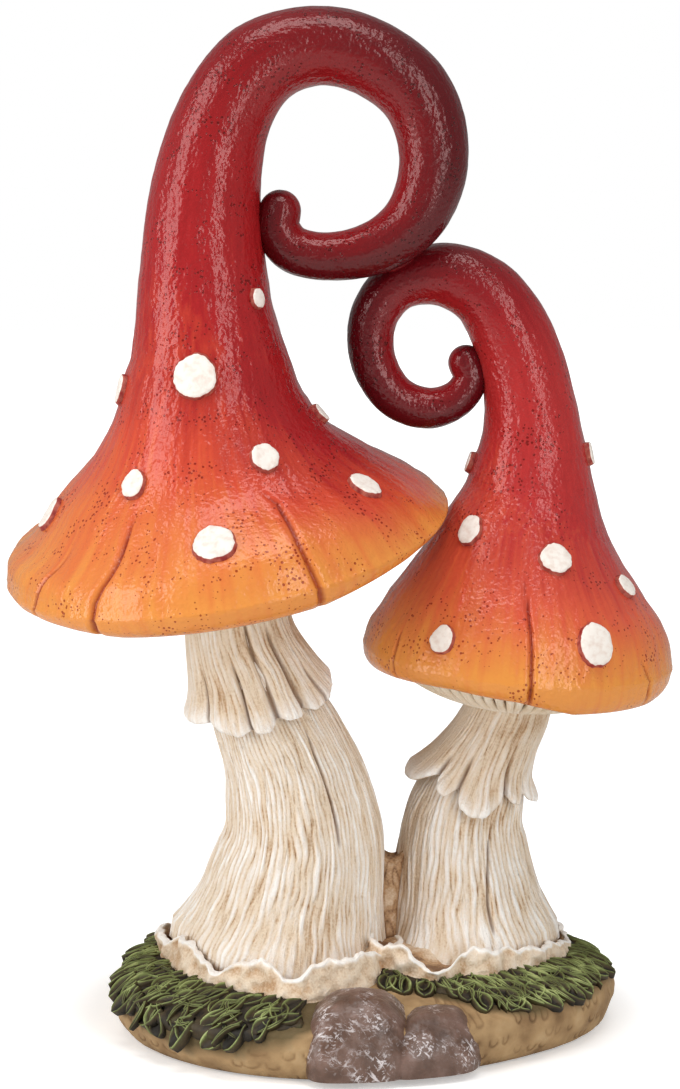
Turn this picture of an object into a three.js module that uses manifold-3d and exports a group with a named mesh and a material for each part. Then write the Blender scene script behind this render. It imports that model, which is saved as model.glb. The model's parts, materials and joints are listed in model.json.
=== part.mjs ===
// Painted resin ornament: two mushrooms with curled cap tips on a grassy mound.
// Millimetres, +Z up, the front faces -Y and +X is to the right of someone in front of it.
// The middle line of every grown form is a short list of stations: x, y, z and radius there.
import * as THREE from 'three';
import Module from 'manifold-3d';

const wasm = await Module();
wasm.setup();

// Fits
const GLUE_GAP = 0.3; // left between two pieces that touch

// Mound
const MOUND_HALF_WIDTH = 86;
const MOUND_HALF_DEPTH = 72;
const MOUND_TURN = -17; // degrees that its long way is turned from +X
const MOUND_MIDDLE_X = 11;
const MOUND_MIDDLE_Y = 0;
const MOUND_BULGE = 21; // how far its front swells past the oval
const BULGE_BEARING = 256;
const BAND_HEIGHT = 16; // bare band round the foot of the mound
const CROWN_HEIGHT = 27; // top of the mound
const CROWN_FALL = 0.7; // 0.5 makes the crown a round dome, 1 a flatter one
const FOOT_BEVEL = 8; // how far the band draws in where it meets the table
const SOCKET_DEPTH = 6; // how far a stem's foot goes into the mound

// Stems, measured from the middle of the foot at the top of the mound
const LARGE_FOOT_X = -19.5;
const LARGE_FOOT_Y = -6.5;
const LARGE_STEM = [
  [0, 0, 0, 36],
  [3.6, 0, 18, 32],
  [6.6, 0, 38, 28],
  [4.3, 0, 55, 25],
  [0.4, 0, 68, 22.2],
  [-4.4, 1, 79, 20.4],
  [-9.4, 2, 93, 18.8],
  [-15.2, 4, 109, 17.7],
  [-19, 6, 151, 17],
];
const SMALL_FOOT_X = 46.5;
const SMALL_FOOT_Y = 5;
const SMALL_STEM = [
  [0, 0, 0, 28],
  [-2, 0, 12, 26.6],
  [-3.2, 0, 28, 23.5],
  [-2.6, 0, 41, 20.8],
  [0.4, 0, 52, 18.2],
  [3.8, 0, 62, 15.2],
  [8.6, 0, 72, 14.2],
  [13, 1, 82, 14.2],
  [15.5, 1, 110, 14],
];

// Caps, measured from the middle of the rim, which lies below the stem's top end
const STEM_INSERT = 10;
const LARGE_CAP = [
  [0, 0, 0, 78],
  [-1.6, -1.6, 9, 71.6],
  [-4, -3.4, 21, 54.2],
  [-5.4, -5, 33, 41.4],
  [-6, -6, 48, 32.3],
  [-5.8, -6.8, 63, 27.5],
  [-7.8, -6.8, 85, 22.8],
  [-7, -6.8, 120, 18.7],
  [0.2, -6.8, 147, 16],
  [12.4, -6.8, 162.8, 14.7],
  [31.2, -6.8, 168.5, 13.2],
  [50.4, -6.8, 163.8, 12.9],
  [65.4, -6.8, 150.7, 12.5],
  [70.2, -6.8, 130, 11.7],
  [64.5, -6.8, 111.8, 10.6],
  [53, -6.8, 101.9, 9.4],
  [35.5, -6.8, 97.8, 8.1],
  [22, -6.8, 100.6, 8],
  [17.4, -6.8, 107.6, 7.6],
  [18.2, -6.8, 113.2, 7.2],
];
const SMALL_CAP = [
  [0, 0, 0, 54],
  [0.8, -0.4, 10, 50.6],
  [1, -0.5, 20, 44.6],
  [1.2, -0.5, 32, 36.6],
  [2, -0.5, 44, 29.8],
  [4, -0.5, 58, 23.2],
  [4.8, -0.5, 74, 18.2],
  [4.2, -0.5, 88, 16.2],
  [-1.6, -0.5, 108, 14],
  [-12, -0.5, 125.8, 12.4],
  [-27.4, -0.5, 132.2, 10.8],
  [-42.2, -0.5, 128.6, 9],
  [-50.4, -0.5, 117.4, 8.2],
  [-50.6, -0.5, 103, 7.9],
  [-42.8, -0.5, 90.2, 7.5],
  [-31, -0.5, 86, 7.1],
  [-21.2, -0.5, 89.6, 6.4],
  [-16.8, -0.5, 96.6, 6],
  [-18.4, -0.5, 101.8, 6.2],
];
const CURL_START = 0.55; // share of a cap's stations that make its bell and neck
const LARGE_LIP = 10; // width of the rounded rim, seen from below
const SMALL_LIP = 6;
const LIP_DROP = 8.5; // how far the rim hangs below its widest line
const LARGE_LIP_LIFT = 0.6; // share of that drop lost at the cap's left and right ends
const SMALL_LIP_LIFT = 0.1;
const GILL_SEAT = 3; // height of the flat seat of the gills above that line
const LARGE_GILL_DROP = 16; // how far the gills bulge down to the stem
const SMALL_GILL_DROP = 19;
const GILL_COUNT = 24;
const GILL_DEPTH = 2.2;

// Skirts round the stems: bearing, height of the lower edge above the mound's top, and how far it
// stands off the stem; the low stand-offs are the slots between the lobes
const LARGE_SKIRT = [
  [-180, 81, 7.2],
  [-166, 79.5, 8],
  [-152, 79, 7.2],
  [-142, 80, 4.5],
  [-130, 78, 5.5],
  [-114, 76.5, 5.2],
  [-104, 79, 3],
  [-98, 78, 4.8],
  [-88, 79, 5],
  [-80, 83.5, 2.8],
  [-72, 82.5, 4.8],
  [-62, 83.5, 5.2],
  [-56, 86.5, 3],
  [-48, 85, 5],
  [-34, 88, 6],
  [-20, 92, 6],
  [-4, 95, 5.2],
  [12, 93, 4.5],
  [30, 89, 6],
  [50, 92, 4],
  [70, 87, 6],
  [92, 90, 3.5],
  [114, 84, 6.5],
  [134, 88, 4],
  [150, 82, 6],
  [165, 84, 5],
];
const SMALL_SKIRT = [
  [-180, 61, 6],
  [-168, 58, 6.5],
  [-152, 57, 6.5],
  [-140, 59, 5.5],
  [-134, 60, 3],
  [-127, 55.5, 4.8],
  [-118, 53, 5.5],
  [-109, 56, 2.8],
  [-103, 50.5, 5],
  [-92, 47, 6],
  [-80, 46.5, 6.5],
  [-69, 50, 4.5],
  [-62, 54, 2.6],
  [-56, 50.5, 4.5],
  [-46, 49, 5],
  [-36, 53.5, 2.6],
  [-28, 49.5, 4.5],
  [-12, 48, 5.5],
  [4, 49, 5.5],
  [18, 53, 3.5],
  [36, 48, 6],
  [56, 50, 5],
  [75, 54, 3],
  [95, 49, 6],
  [118, 52, 5.5],
  [138, 57, 3.5],
  [156, 57, 6],
];
const LARGE_SKIRT_TOP = 122;
const SMALL_SKIRT_TOP = 84;
const SKIRT_THICKNESS = 2.6;
const SKIRT_ROWS = 5;
const FLARE_CURVE = 3.2; // how late they turn outward on the way down

// Frills round the feet of the stems: bearing, how far the foot of the wall and its rim lie outside
// the stem's foot, and height of the rim over the mound
const LARGE_FRILL = [
  [-180, 8, 9.5, 8],
  [-168, 6.5, 7, 7],
  [-158, 6.5, 4.5, 10],
  [-149, 7.5, 4.5, 11.5],
  [-139, 9, 6, 9],
  [-129, 10, 7.5, 6],
  [-119, 12, 10, 4],
  [-112, 13, 10.5, 6.5],
  [-105, 15, 11.5, 9.5],
  [-99, 17.5, 13.5, 10.5],
  [-93, 20.5, 17, 9],
  [-87, 23.5, 22, 5],
  [-80, 25.5, 21.5, 10.5],
  [-73, 22.5, 18, 11.5],
  [-66, 21.5, 17.5, 9.3],
  [-58, 20.5, 16.5, 9.7],
  [-50, 15.5, 13, 8],
  [-38, 8, 7, 6],
  [-22, 7, 6, 6],
  [-5, 7, 6, 8],
  [12, 8, 7, 5],
  [30, 10, 8, 9],
  [48, 9, 8, 5],
  [66, 12, 9, 10],
  [84, 10, 9, 6],
  [102, 12, 9, 9],
  [120, 10, 8, 6],
  [138, 12, 10, 9],
  [152, 9, 9, 5],
  [166, 9, 9, 9],
];
const SMALL_FRILL = [
  [-180, 8, 7, 6],
  [-162, 10, 9, 7],
  [-148, 17, 15, 6],
  [-136, 25, 23, 8],
  [-126, 28.5, 27, 8],
  [-118, 28.5, 26.5, 10],
  [-112, 29, 28, 6],
  [-105, 29.5, 29, 2.5],
  [-99, 23, 22, 5],
  [-93, 19, 16, 9],
  [-87, 20, 16.5, 8.5],
  [-80, 17, 14.5, 7.5],
  [-74, 13.5, 11, 8],
  [-64, 11.6, 9.5, 6.5],
  [-54, 10.8, 8.5, 6.3],
  [-44, 9.2, 7, 6],
  [-30, 8, 6.5, 5],
  [-14, 7.2, 6.5, 4],
  [2, 7, 7, 4],
  [20, 8, 7, 6],
  [38, 9, 8, 4],
  [56, 8, 7, 7],
  [74, 9, 8, 4],
  [92, 8, 7, 7],
  [110, 9, 8, 4],
  [128, 8, 7, 7],
  [146, 9, 8, 4],
  [164, 8, 7, 6],
];
const FRILL_TUCK = 2; // how far they run in under the stem and down into the mound
const FRILL_THICKNESS = 2.4;
const FRILL_CLIMB = 14; // how far they run up the stem

// Web of resin between the two stems
const WEB_WIDTH = 10;
const WEB_HALF_DEPTH = 10;
const WEB_HEIGHT = 30;
const WEB_ROOT = 2; // how far it reaches below the top of the mound

// Bead of resin where the two curls meet
const BEAD_LENGTH = 15;
const BEAD_HEIGHT = 6;

// Stones in the front edge of the mound: middle x, width, height and depth
const LARGE_STONE = [5.5, 37, 26, 34];
const SMALL_STONE = [32.5, 31, 19.5, 29];
const STONE_ROUNDNESS = 0.82; // 1 makes their outline an oval, less squares it off
const STONE_FOOT = 2.5; // height of the stones' undersides over the table
const STONE_PROUD = 3.5; // how far the stones stand out of the mound's front

// Grass mats: bearings round the mound, anticlockwise from +X, and how far in from the mound's edge
// the outer edge of the mat lies there; below 0 it hangs over the edge
const GRASS_MATS = {
  grass_right: [[-74, 34], [-60, 27], [-50, 14], [-40, 5], [-20, 3], [0, 0], [46, 0]],
  grass_left: [[168, 0], [200, -1], [225, -3], [250, -3], [262, 0], [274, 6]],
  grass_back: [[50, 0], [107, -1], [164, 0]],
};
const GRASS_INNER = 44; // how far in from the mound's edge their inner edge lies
const TURF_HEIGHT = 1.8;
const GRASS_ROOT = 3; // how far it runs down into the mound
const EDGE_ROUNDING = 8; // width over which the mats bend down at the mound's edge
const BLADE_LENGTH = 9.4;
const BLADE_WIDTH = 6.2;
const BLADE_RISE = 3.6; // height of the blades' raised edges over the mound
const BLADE_HOLLOW = 2; // height of the hollow between them
const BLADE_PITCH = 8.8; // from blade to blade across the mound
const BLADE_ROW = 7.6; // from row to row of blades
const BLADE_SWING = 30; // degrees that they turn to either side

// Raised spots: distance up the cap from its rim, bearing round it, width and height
const SPOT_RISE = 2;
const SPOT_ROOT = 4; // how far a spot's body reaches below the cap's skin, before it is cut to fit
const LARGE_SPOTS = [
  [16, -91, 15, 15],
  [31, -125, 9, 9],
  [35, -63, 10, 10],
  [20, -36, 11, 12],
  [61, -98, 15, 15],
  [84, -39, 6, 9],
  [20, -172, 10, 11],
  [54, -166, 8, 10],
  [43, -4, 8, 9],
  [26, 44, 13, 13],
  [14, 74, 15, 14],
  [40, 92, 12, 12],
  [18, 118, 11, 12],
  [76, 92, 12, 13],
  [104, 60, 7, 9],
];
const SMALL_SPOTS = [
  [12, -63, 13, 13],
  [11, -124, 9, 11],
  [44, -131, 9, 10],
  [38, -74, 12, 12],
  [27, -31, 8, 10],
  [71, -10, 6, 8],
  [66, 178, 6, 9],
  [18, 40, 11, 12],
  [30, 84, 12, 12],
  [12, 122, 10, 10],
  [56, 100, 8, 10],
];

// How finely the forms are drawn
const CAP_SIDES = 20;
const STEM_SIDES = 20;
const MOUND_SIDES = 36;
const SPOT_SIDES = 9;
const STONE_SIDES = 16;
const CURL_STEP = 9.5;
const STEM_STEP = 14;

const DEPTH_AXIS = new THREE.Vector3(0, 1, 0);
const UP = new THREE.Vector3(0, 0, 1);
const MOUND_MIDDLE = new THREE.Vector3(MOUND_MIDDLE_X, MOUND_MIDDLE_Y, 0);
const turnOf = (j, count) => (j / count) * Math.PI * 2;

// A closed solid from rings of points; the first and last are closed by a fan, or joined in a loop
function loft(rings, looped = false) {
  const count = rings[0].length;
  const points = rings.flat();
  const faces = [];
  const bands = looped ? rings.length : rings.length - 1;
  for (let i = 0; i < bands; i++) {
    const here = i * count;
    const next = ((i + 1) % rings.length) * count;
    for (let j = 0; j < count; j++) {
      const k = (j + 1) % count;
      faces.push([here + j, here + k, next + k], [here + j, next + k, next + j]);
    }
  }
  if (!looped) {
    closeEnd(points, faces, rings[0], 0, true);
    closeEnd(points, faces, rings.at(-1), (rings.length - 1) * count, false);
  }
  return solidFrom(points, faces);
}

function closeEnd(points, faces, ring, first, facesBack) {
  const middle = points.length;
  const sum = ring.reduce((total, p) => total.add(p), new THREE.Vector3());
  points.push(sum.divideScalar(ring.length));
  for (let j = 0; j < ring.length; j++) {
    const a = first + j;
    const b = first + ((j + 1) % ring.length);
    faces.push(facesBack ? [middle, b, a] : [middle, a, b]);
  }
}

function solidFrom(points, faces) {
  const volume = faces.reduce((total, [a, b, c]) => {
    const normal = new THREE.Vector3().crossVectors(points[b], points[c]);
    return total + points[a].dot(normal);
  }, 0);
  const outward = volume > 0 ? faces : faces.map(([a, b, c]) => [a, c, b]);
  const vertProperties = new Float32Array(points.flatMap((p) => p.toArray()));
  const triVerts = new Uint32Array(outward.flat());
  return new wasm.Manifold(new wasm.Mesh({ numProp: 3, vertProperties, triVerts }));
}

// The slivers that a cut leaves beside the main piece are not part of it
function mainPiece(solid) {
  const pieces = solid.decompose();
  return pieces.reduce((most, piece) => (piece.volume() > most.volume() ? piece : most), pieces[0]);
}

function toMesh(name, solid, material) {
  const { vertProperties, triVerts } = mainPiece(solid).getMesh();
  const geometry = new THREE.BufferGeometry();
  geometry.setAttribute('position', new THREE.BufferAttribute(vertProperties, 3));
  geometry.setIndex(new THREE.BufferAttribute(triVerts, 1));
  geometry.computeVertexNormals();
  const mesh = new THREE.Mesh(geometry, material);
  mesh.name = name;
  return mesh;
}

// A smooth middle line with a radius, moved to its place
function makeSpine(stations, place) {
  const places = stations.map(([x, y, z]) => new THREE.Vector3(x, y, z).add(place));
  const radii = stations.map((station) => new THREE.Vector3(station[3], 0, 0));
  return {
    spans: stations.length - 1,
    path: new THREE.CatmullRomCurve3(places),
    sizes: new THREE.CatmullRomCurve3(radii, false, 'catmullrom'),
  };
}

function frameAt(spine, t) {
  const along = spine.path.getTangent(t);
  const right = new THREE.Vector3().crossVectors(DEPTH_AXIS, along).normalize();
  const back = new THREE.Vector3().crossVectors(along, right);
  return { at: spine.path.getPoint(t), along, right, back, radius: spine.sizes.getPoint(t).x };
}

// The point at a bearing round a frame, at a radius and a distance along it
function around(frame, bearing, radius, ahead = 0) {
  return frame.at
    .clone()
    .addScaledVector(frame.along, ahead)
    .addScaledVector(frame.right, radius * Math.cos(bearing))
    .addScaledVector(frame.back, radius * Math.sin(bearing));
}

function ringAt(frame, sides, radius, ahead = 0) {
  const ring = [];
  for (let j = 0; j < sides; j++) ring.push(around(frame, turnOf(j, sides), radius, ahead));
  return ring;
}

// The places along a spine, between two of its stations, that are about a step apart
function stepsAlong(spine, first, last, step) {
  const places = [first / spine.spans];
  for (let i = first; i < last; i++) {
    const from = spine.path.getPoint(i / spine.spans);
    const to = spine.path.getPoint((i + 1) / spine.spans);
    const parts = Math.max(1, Math.round(from.distanceTo(to) / step));
    for (let j = 1; j <= parts; j++) places.push((i + j / parts) / spine.spans);
  }
  return places;
}

// The place on a spine whose path has run a distance from its start
function placeAfter(spine, distance) {
  return spine.path.getUtoTmapping(0, distance);
}

// A rounded end past a frame
function roundedEnd(frame, sides, radius) {
  return [30, 58, 80].map((degrees) => {
    const lean = THREE.MathUtils.degToRad(degrees);
    return ringAt(frame, sides, radius * Math.cos(lean), radius * Math.sin(lean));
  });
}

// Mound

// Height of the mound's skin over the table at a share of the way out to its edge
function skinHeight(share) {
  const fall = Math.max(0, 1 - share * share) ** CROWN_FALL;
  return BAND_HEIGHT + (CROWN_HEIGHT - BAND_HEIGHT) * fall;
}

// How much wider than the plain oval the mound is at a bearing
function swell(bearing) {
  const facing = Math.max(0, Math.cos(bearing - THREE.MathUtils.degToRad(BULGE_BEARING)));
  return 1 + (MOUND_BULGE / MOUND_HALF_DEPTH) * facing ** 3;
}

function moundHeight(x, y) {
  const from = new THREE.Vector3(x, y, 0).sub(MOUND_MIDDLE);
  from.applyAxisAngle(UP, -THREE.MathUtils.degToRad(MOUND_TURN));
  const share = Math.hypot(from.x / MOUND_HALF_WIDTH, from.y / MOUND_HALF_DEPTH);
  const bearing = Math.atan2(from.y / MOUND_HALF_DEPTH, from.x / MOUND_HALF_WIDTH);
  return skinHeight(share / swell(bearing));
}

function moundPoint(bearing, share, z, out = 0) {
  const wide = share * swell(bearing);
  const x = (MOUND_HALF_WIDTH * wide + out) * Math.cos(bearing);
  const y = (MOUND_HALF_DEPTH * wide + out) * Math.sin(bearing);
  const point = new THREE.Vector3(x, y, z).applyAxisAngle(UP, THREE.MathUtils.degToRad(MOUND_TURN));
  return point.add(MOUND_MIDDLE);
}

function moundSolid(grow) {
  const outline = [
    [1, -FOOT_BEVEL, 0],
    [1, -FOOT_BEVEL * 0.6, BAND_HEIGHT * 0.08],
    [1, -FOOT_BEVEL * 0.3, BAND_HEIGHT * 0.24],
    [1, -FOOT_BEVEL * 0.08, BAND_HEIGHT * 0.5],
    [1, 0, BAND_HEIGHT * 0.75],
    [1, -FOOT_BEVEL * 0.08, BAND_HEIGHT],
  ];
  for (const share of [0.95, 0.86, 0.7, 0.45]) outline.push([share, 0, skinHeight(share)]);
  const rings = outline.map(([share, out, z], row) => {
    const ring = [];
    const height = row === 0 ? z - grow : z + grow;
    for (let j = 0; j < MOUND_SIDES; j++) {
      ring.push(moundPoint(turnOf(j, MOUND_SIDES), share, height, out + grow));
    }
    return ring;
  });
  return loft(rings);
}

// Stones, drawn as rings that close in towards a domed top

const STONE_PROFILE = [[0.95, 0], [1, 0.15], [0.98, 0.4], [0.9, 0.62], [0.7, 0.83], [0.36, 0.97]];

function stoneSolid([x, width, height, depth], grow) {
  const middle = new THREE.Vector3(x, frontEdge(x) - STONE_PROUD + depth / 2, STONE_FOOT);
  const rings = [];
  for (const [share, rise] of STONE_PROFILE) {
    const ring = [];
    for (let j = 0; j < STONE_SIDES; j++) {
      const turn = turnOf(j, STONE_SIDES);
      const lump = 1 + 0.05 * Math.cos(3 * turn + x) + 0.03 * Math.sin(5 * turn);
      const across = (width / 2) * share * lump + grow;
      const deep = (depth / 2) * share * lump + grow;
      const z = rise === 0 ? -grow : height * rise + grow;
      const out = new THREE.Vector3(across * blunt(Math.cos(turn)), deep * blunt(Math.sin(turn)), z);
      ring.push(out.add(middle));
    }
    rings.push(ring);
  }
  return loft(rings);
}

// Squares off a round outline
function blunt(value) {
  return Math.sign(value) * Math.abs(value) ** STONE_ROUNDNESS;
}

// How far forward the mound's edge lies at a place across it
function frontEdge(x) {
  let nearest = null;
  for (let degrees = 180; degrees < 360; degrees++) {
    const edge = moundPoint(THREE.MathUtils.degToRad(degrees), 1, 0);
    if (!nearest || Math.abs(edge.x - x) < Math.abs(nearest.x - x)) nearest = edge;
  }
  return nearest.y;
}

// Stems

function stemSpine(stations, x, y) {
  return makeSpine(stations, new THREE.Vector3(x, y, CROWN_HEIGHT));
}

function stemSolid(spine, grow) {
  const rings = [];
  const foot = frameAt(spine, 0);
  rings.push(ringAt(foot, STEM_SIDES, foot.radius + grow, -SOCKET_DEPTH - grow));
  for (const t of stepsAlong(spine, 0, spine.spans, STEM_STEP)) {
    const frame = frameAt(spine, t);
    rings.push(ringAt(frame, STEM_SIDES, frame.radius + grow, t === 1 ? grow : 0));
  }
  return loft(rings);
}

// Caps

function capSpine(stations, stem) {
  const rim = stem.path.getPoint(1).sub(new THREE.Vector3(0, 0, STEM_INSERT));
  return makeSpine(stations, rim);
}

// The bell and neck with its hollow for the gills, then the curl, joined where the tip meets the neck
function capSolid(spine, lip, lift, grow) {
  const rim = frameAt(spine, 0);
  const inner = rim.radius - lip - grow;
  const lipRing = (radius, drop) =>
    ringAt(rim, CAP_SIDES, radius, -grow).map((p, j) =>
      p.addScaledVector(rim.along, -drop * (1 - lift * Math.cos(turnOf(j, CAP_SIDES)) ** 2))
    );
  const rings = [
    ringAt(rim, CAP_SIDES, inner, GILL_SEAT - grow),
    lipRing(inner, LIP_DROP * 0.8),
    lipRing(inner + lip * 0.4, LIP_DROP),
    lipRing(inner + lip * 0.85 + grow, LIP_DROP * 0.6),
  ];
  const turn = Math.round(spine.spans * CURL_START);
  for (const t of stepsAlong(spine, 0, turn, CURL_STEP)) {
    const frame = frameAt(spine, t);
    rings.push(ringAt(frame, CAP_SIDES, frame.radius + grow));
  }
  const curl = [];
  for (const t of stepsAlong(spine, turn, spine.spans, CURL_STEP)) {
    const frame = frameAt(spine, t);
    curl.push(ringAt(frame, CAP_SIDES, frame.radius + grow));
  }
  const tip = frameAt(spine, 1);
  curl.push(...roundedEnd(tip, CAP_SIDES, tip.radius + grow));
  return loft(rings).add(loft(curl));
}

// Gills: a ribbed dish whose flat back sits in the hollow of the cap

function gillSolid(cap, lip, drop, ribs, grow) {
  const rim = frameAt(cap, 0);
  const hollow = (rim.radius - lip) * Math.cos(Math.PI / CAP_SIDES); // to its flat sides
  const outer = hollow - GLUE_GAP + grow;
  const sides = ribs ? GILL_COUNT * 2 : CAP_SIDES;
  const rings = [ringAt(rim, sides, outer, GILL_SEAT - GLUE_GAP + grow)];
  for (const [share, fall] of [[1, 0.12], [0.66, 0.62], [0.3, 1]]) {
    const ring = ringAt(rim, sides, outer * share, -drop * fall - grow);
    if (ribs && share < 1) {
      ring.forEach((p, j) => p.addScaledVector(rim.along, j % 2 ? GILL_DEPTH : 0));
    }
    rings.push(ring);
  }
  return loft(rings);
}

// Skirt: a lobed sleeve that hangs round the stem from under the cap

function skirtSolid(stem, edge, top) {
  const outside = [];
  const inside = [];
  for (let row = 0; row <= SKIRT_ROWS; row++) {
    const down = row / SKIRT_ROWS;
    const at = (side) =>
      edge.map(([degrees, bottom, stand]) => {
        const out = GLUE_GAP + stand * down ** FLARE_CURVE + (side * SKIRT_THICKNESS) / 2;
        return besideStem(stem, THREE.MathUtils.degToRad(degrees), out, top + (bottom - top) * down);
      });
    outside.push(at(1));
    inside.unshift(at(-1));
  }
  return loft([...outside, ...inside], true);
}

// The point at a height above the mound's top that lies off a stem's skin; the stem may lean
function besideStem(stem, bearing, out, height) {
  let level = height;
  let point = null;
  for (let i = 0; i < 5; i++) {
    const frame = frameAt(stem, heightPlace(stem, level));
    point = around(frame, bearing, frame.radius + out);
    level += height + CROWN_HEIGHT - point.z;
  }
  return point;
}

// The place on a stem at a height above the mound's top
function heightPlace(stem, height) {
  let low = 0;
  let high = 1;
  for (let i = 0; i < 24; i++) {
    const middle = (low + high) / 2;
    if (stem.path.getPoint(middle).z - CROWN_HEIGHT < height) low = middle;
    else high = middle;
  }
  return low;
}

// Frill: a wavy cup that stands on the mound round the foot of a stem

function besideFoot(stem, degrees, out, rise) {
  const foot = frameAt(stem, 0);
  const bearing = THREE.MathUtils.degToRad(degrees);
  const point = new THREE.Vector3(Math.cos(bearing), Math.sin(bearing), 0);
  point.multiplyScalar(foot.radius + out).add(foot.at);
  return point.setZ(moundHeight(point.x, point.y) + rise);
}

function frillSolid(stem, frill, grow) {
  const sections = frill.map(([degrees, wall, rim, lift]) => {
    const at = (out, rise) => besideFoot(stem, degrees, out, rise);
    const inner = rim - FRILL_THICKNESS;
    const bearing = THREE.MathUtils.degToRad(degrees);
    return [
      at(-FRILL_TUCK, -FRILL_TUCK),
      at(wall, -FRILL_TUCK),
      at(wall + grow, FRILL_TUCK / 2 + grow),
      at(rim + grow, lift + grow),
      at(inner, lift + grow),
      at(inner * 0.65, lift * 0.4 + grow),
      at(inner * 0.25, lift * 0.3 + FRILL_CLIMB * 0.3 + grow),
      besideStem(stem, bearing, -FRILL_TUCK, FRILL_CLIMB + grow),
    ];
  });
  return loft(sections, true);
}

// The room inside the outer wall of a frill, from under the mound's skin to above the frill
function frillRoom(stem, frill) {
  const rings = [0, CROWN_HEIGHT * 2].map((z) =>
    frill.map(([degrees, wall, rim]) =>
      besideFoot(stem, degrees, Math.max(wall, rim) + GLUE_GAP, 0).setZ(z)
    )
  );
  return loft(rings);
}

// Web: the resin that fills the valley between the stems

function webSolid(large, small) {
  const rings = [];
  for (const rise of [-WEB_ROOT, WEB_HEIGHT * 0.5, WEB_HEIGHT]) {
    const left = frameAt(large, heightPlace(large, Math.max(0, rise)));
    const right = frameAt(small, heightPlace(small, Math.max(0, rise)));
    const leftSide = left.at.x + left.radius;
    const rightSide = right.at.x - right.radius;
    const middle = new THREE.Vector3((leftSide + rightSide) / 2, 0, CROWN_HEIGHT + rise);
    const taper = 1 - 0.35 * (rise / WEB_HEIGHT);
    const ring = [];
    for (let j = 0; j < 12; j++) {
      const turn = turnOf(j, 12);
      const x = (WEB_WIDTH / 2) * Math.cos(turn);
      const y = WEB_HALF_DEPTH * taper * Math.sin(turn);
      ring.push(middle.clone().add(new THREE.Vector3(x, y, 0)));
    }
    rings.push(ring);
  }
  return loft(rings);
}

// Bead: a lens of resin set where the curls come closest

function beadSolid(large, small) {
  let least = Infinity;
  let here = null;
  let there = null;
  for (let i = 100; i <= 200; i++) {
    for (let j = 100; j <= 200; j++) {
      const a = frameAt(large, i / 200);
      const b = frameAt(small, j / 200);
      const gap = a.at.distanceTo(b.at) - a.radius - b.radius;
      if (gap < least) [least, here, there] = [gap, a, b];
    }
  }
  const across = there.at.clone().sub(here.at).normalize();
  const middle = here.at.clone().addScaledVector(across, here.radius + least / 2);
  const side = new THREE.Vector3().crossVectors(across, here.along).normalize();
  const rings = [];
  for (const lean of [-60, -30, 0, 30, 60]) {
    const turn = THREE.MathUtils.degToRad(lean);
    const ring = [];
    for (let j = 0; j < 12; j++) {
      const bearing = turnOf(j, 12);
      const size = (BEAD_HEIGHT / 2) * Math.cos(turn);
      const point = middle.clone().addScaledVector(here.along, (BEAD_LENGTH / 2) * Math.sin(turn));
      point.addScaledVector(across, size * Math.cos(bearing));
      ring.push(point.addScaledVector(side, size * Math.sin(bearing)));
    }
    rings.push(ring);
  }
  return loft(rings);
}

// Grass: a mat of turf with rows of cupped blades that point out to the mound's edge

// The point at a bearing and a way in from the mound's edge, raised off the skin; the skin turns down
// at the edge, and past it the way in is below 0
function onSkin(bearing, inward, rise) {
  const share = 1 - Math.max(0, inward) / MOUND_HALF_WIDTH;
  const bent = THREE.MathUtils.clamp(0.75 - inward / EDGE_ROUNDING, 0, 1);
  const z = skinHeight(share) + Math.min(0, inward) + rise * (1 - bent);
  return moundPoint(bearing, share, z, rise * bent);
}

// How far in the outer edge of a mat lies at a bearing in degrees
function matEdge(mat, degrees) {
  const next = Math.max(1, mat.findIndex(([bearing]) => bearing >= degrees));
  const [from, fromIn] = mat[next - 1];
  const [to, toIn] = mat[next];
  return THREE.MathUtils.lerp(fromIn, toIn, (degrees - from) / (to - from));
}

// An even scatter of numbers from -1 to 1
function scatter(number) {
  return Math.sin(number * 12.9 + 4.1 * Math.sin(number * 7.3));
}

function turfSolid(mat) {
  const first = mat[0][0];
  const last = mat.at(-1)[0];
  const steps = Math.round((THREE.MathUtils.degToRad(last - first) * MOUND_HALF_WIDTH) / BLADE_PITCH);
  const sections = [];
  for (let i = 0; i <= steps; i++) {
    const degrees = first + ((last - first) * i) / steps;
    const edge = matEdge(mat, degrees);
    const at = (inward, rise) => onSkin(THREE.MathUtils.degToRad(degrees), inward, rise);
    sections.push([
      at(GRASS_INNER, -GRASS_ROOT),
      at(edge + GRASS_ROOT, -GRASS_ROOT),
      at(edge, GLUE_GAP),
      at(edge + GRASS_ROOT, TURF_HEIGHT),
      at((edge + GRASS_INNER) / 2, TURF_HEIGHT),
      at(GRASS_INNER, TURF_HEIGHT),
    ]);
  }
  return loft(sections);
}

// A blade is a cupped kite, low at its root, tip and hollow and high at both its sides
function bladeSolid(bearing, inward, number) {
  const swing = THREE.MathUtils.degToRad(BLADE_SWING) * scatter(number);
  const size = 1 + 0.2 * scatter(number + 0.4);
  const at = (ahead, sideways, rise) => {
    const x = BLADE_LENGTH * size * ahead;
    const y = BLADE_WIDTH * size * sideways;
    const across = x * Math.sin(swing) + y * Math.cos(swing);
    const out = x * Math.cos(swing) - y * Math.sin(swing);
    return onSkin(bearing + across / MOUND_HALF_DEPTH, inward - out, rise);
  };
  const points = [
    at(0, 0, TURF_HEIGHT), at(0.4, -0.5, BLADE_RISE), at(1, 0, BLADE_HOLLOW), at(0.4, 0.5, BLADE_RISE),
    at(0.4, 0, BLADE_HOLLOW), at(0.4, 0, GLUE_GAP * 2),
  ];
  const faces = [];
  for (const [a, b] of [[0, 1], [1, 2], [2, 3], [3, 0]]) faces.push([a, b, 4], [b, a, 5]);
  return solidFrom(points, faces);
}

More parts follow.
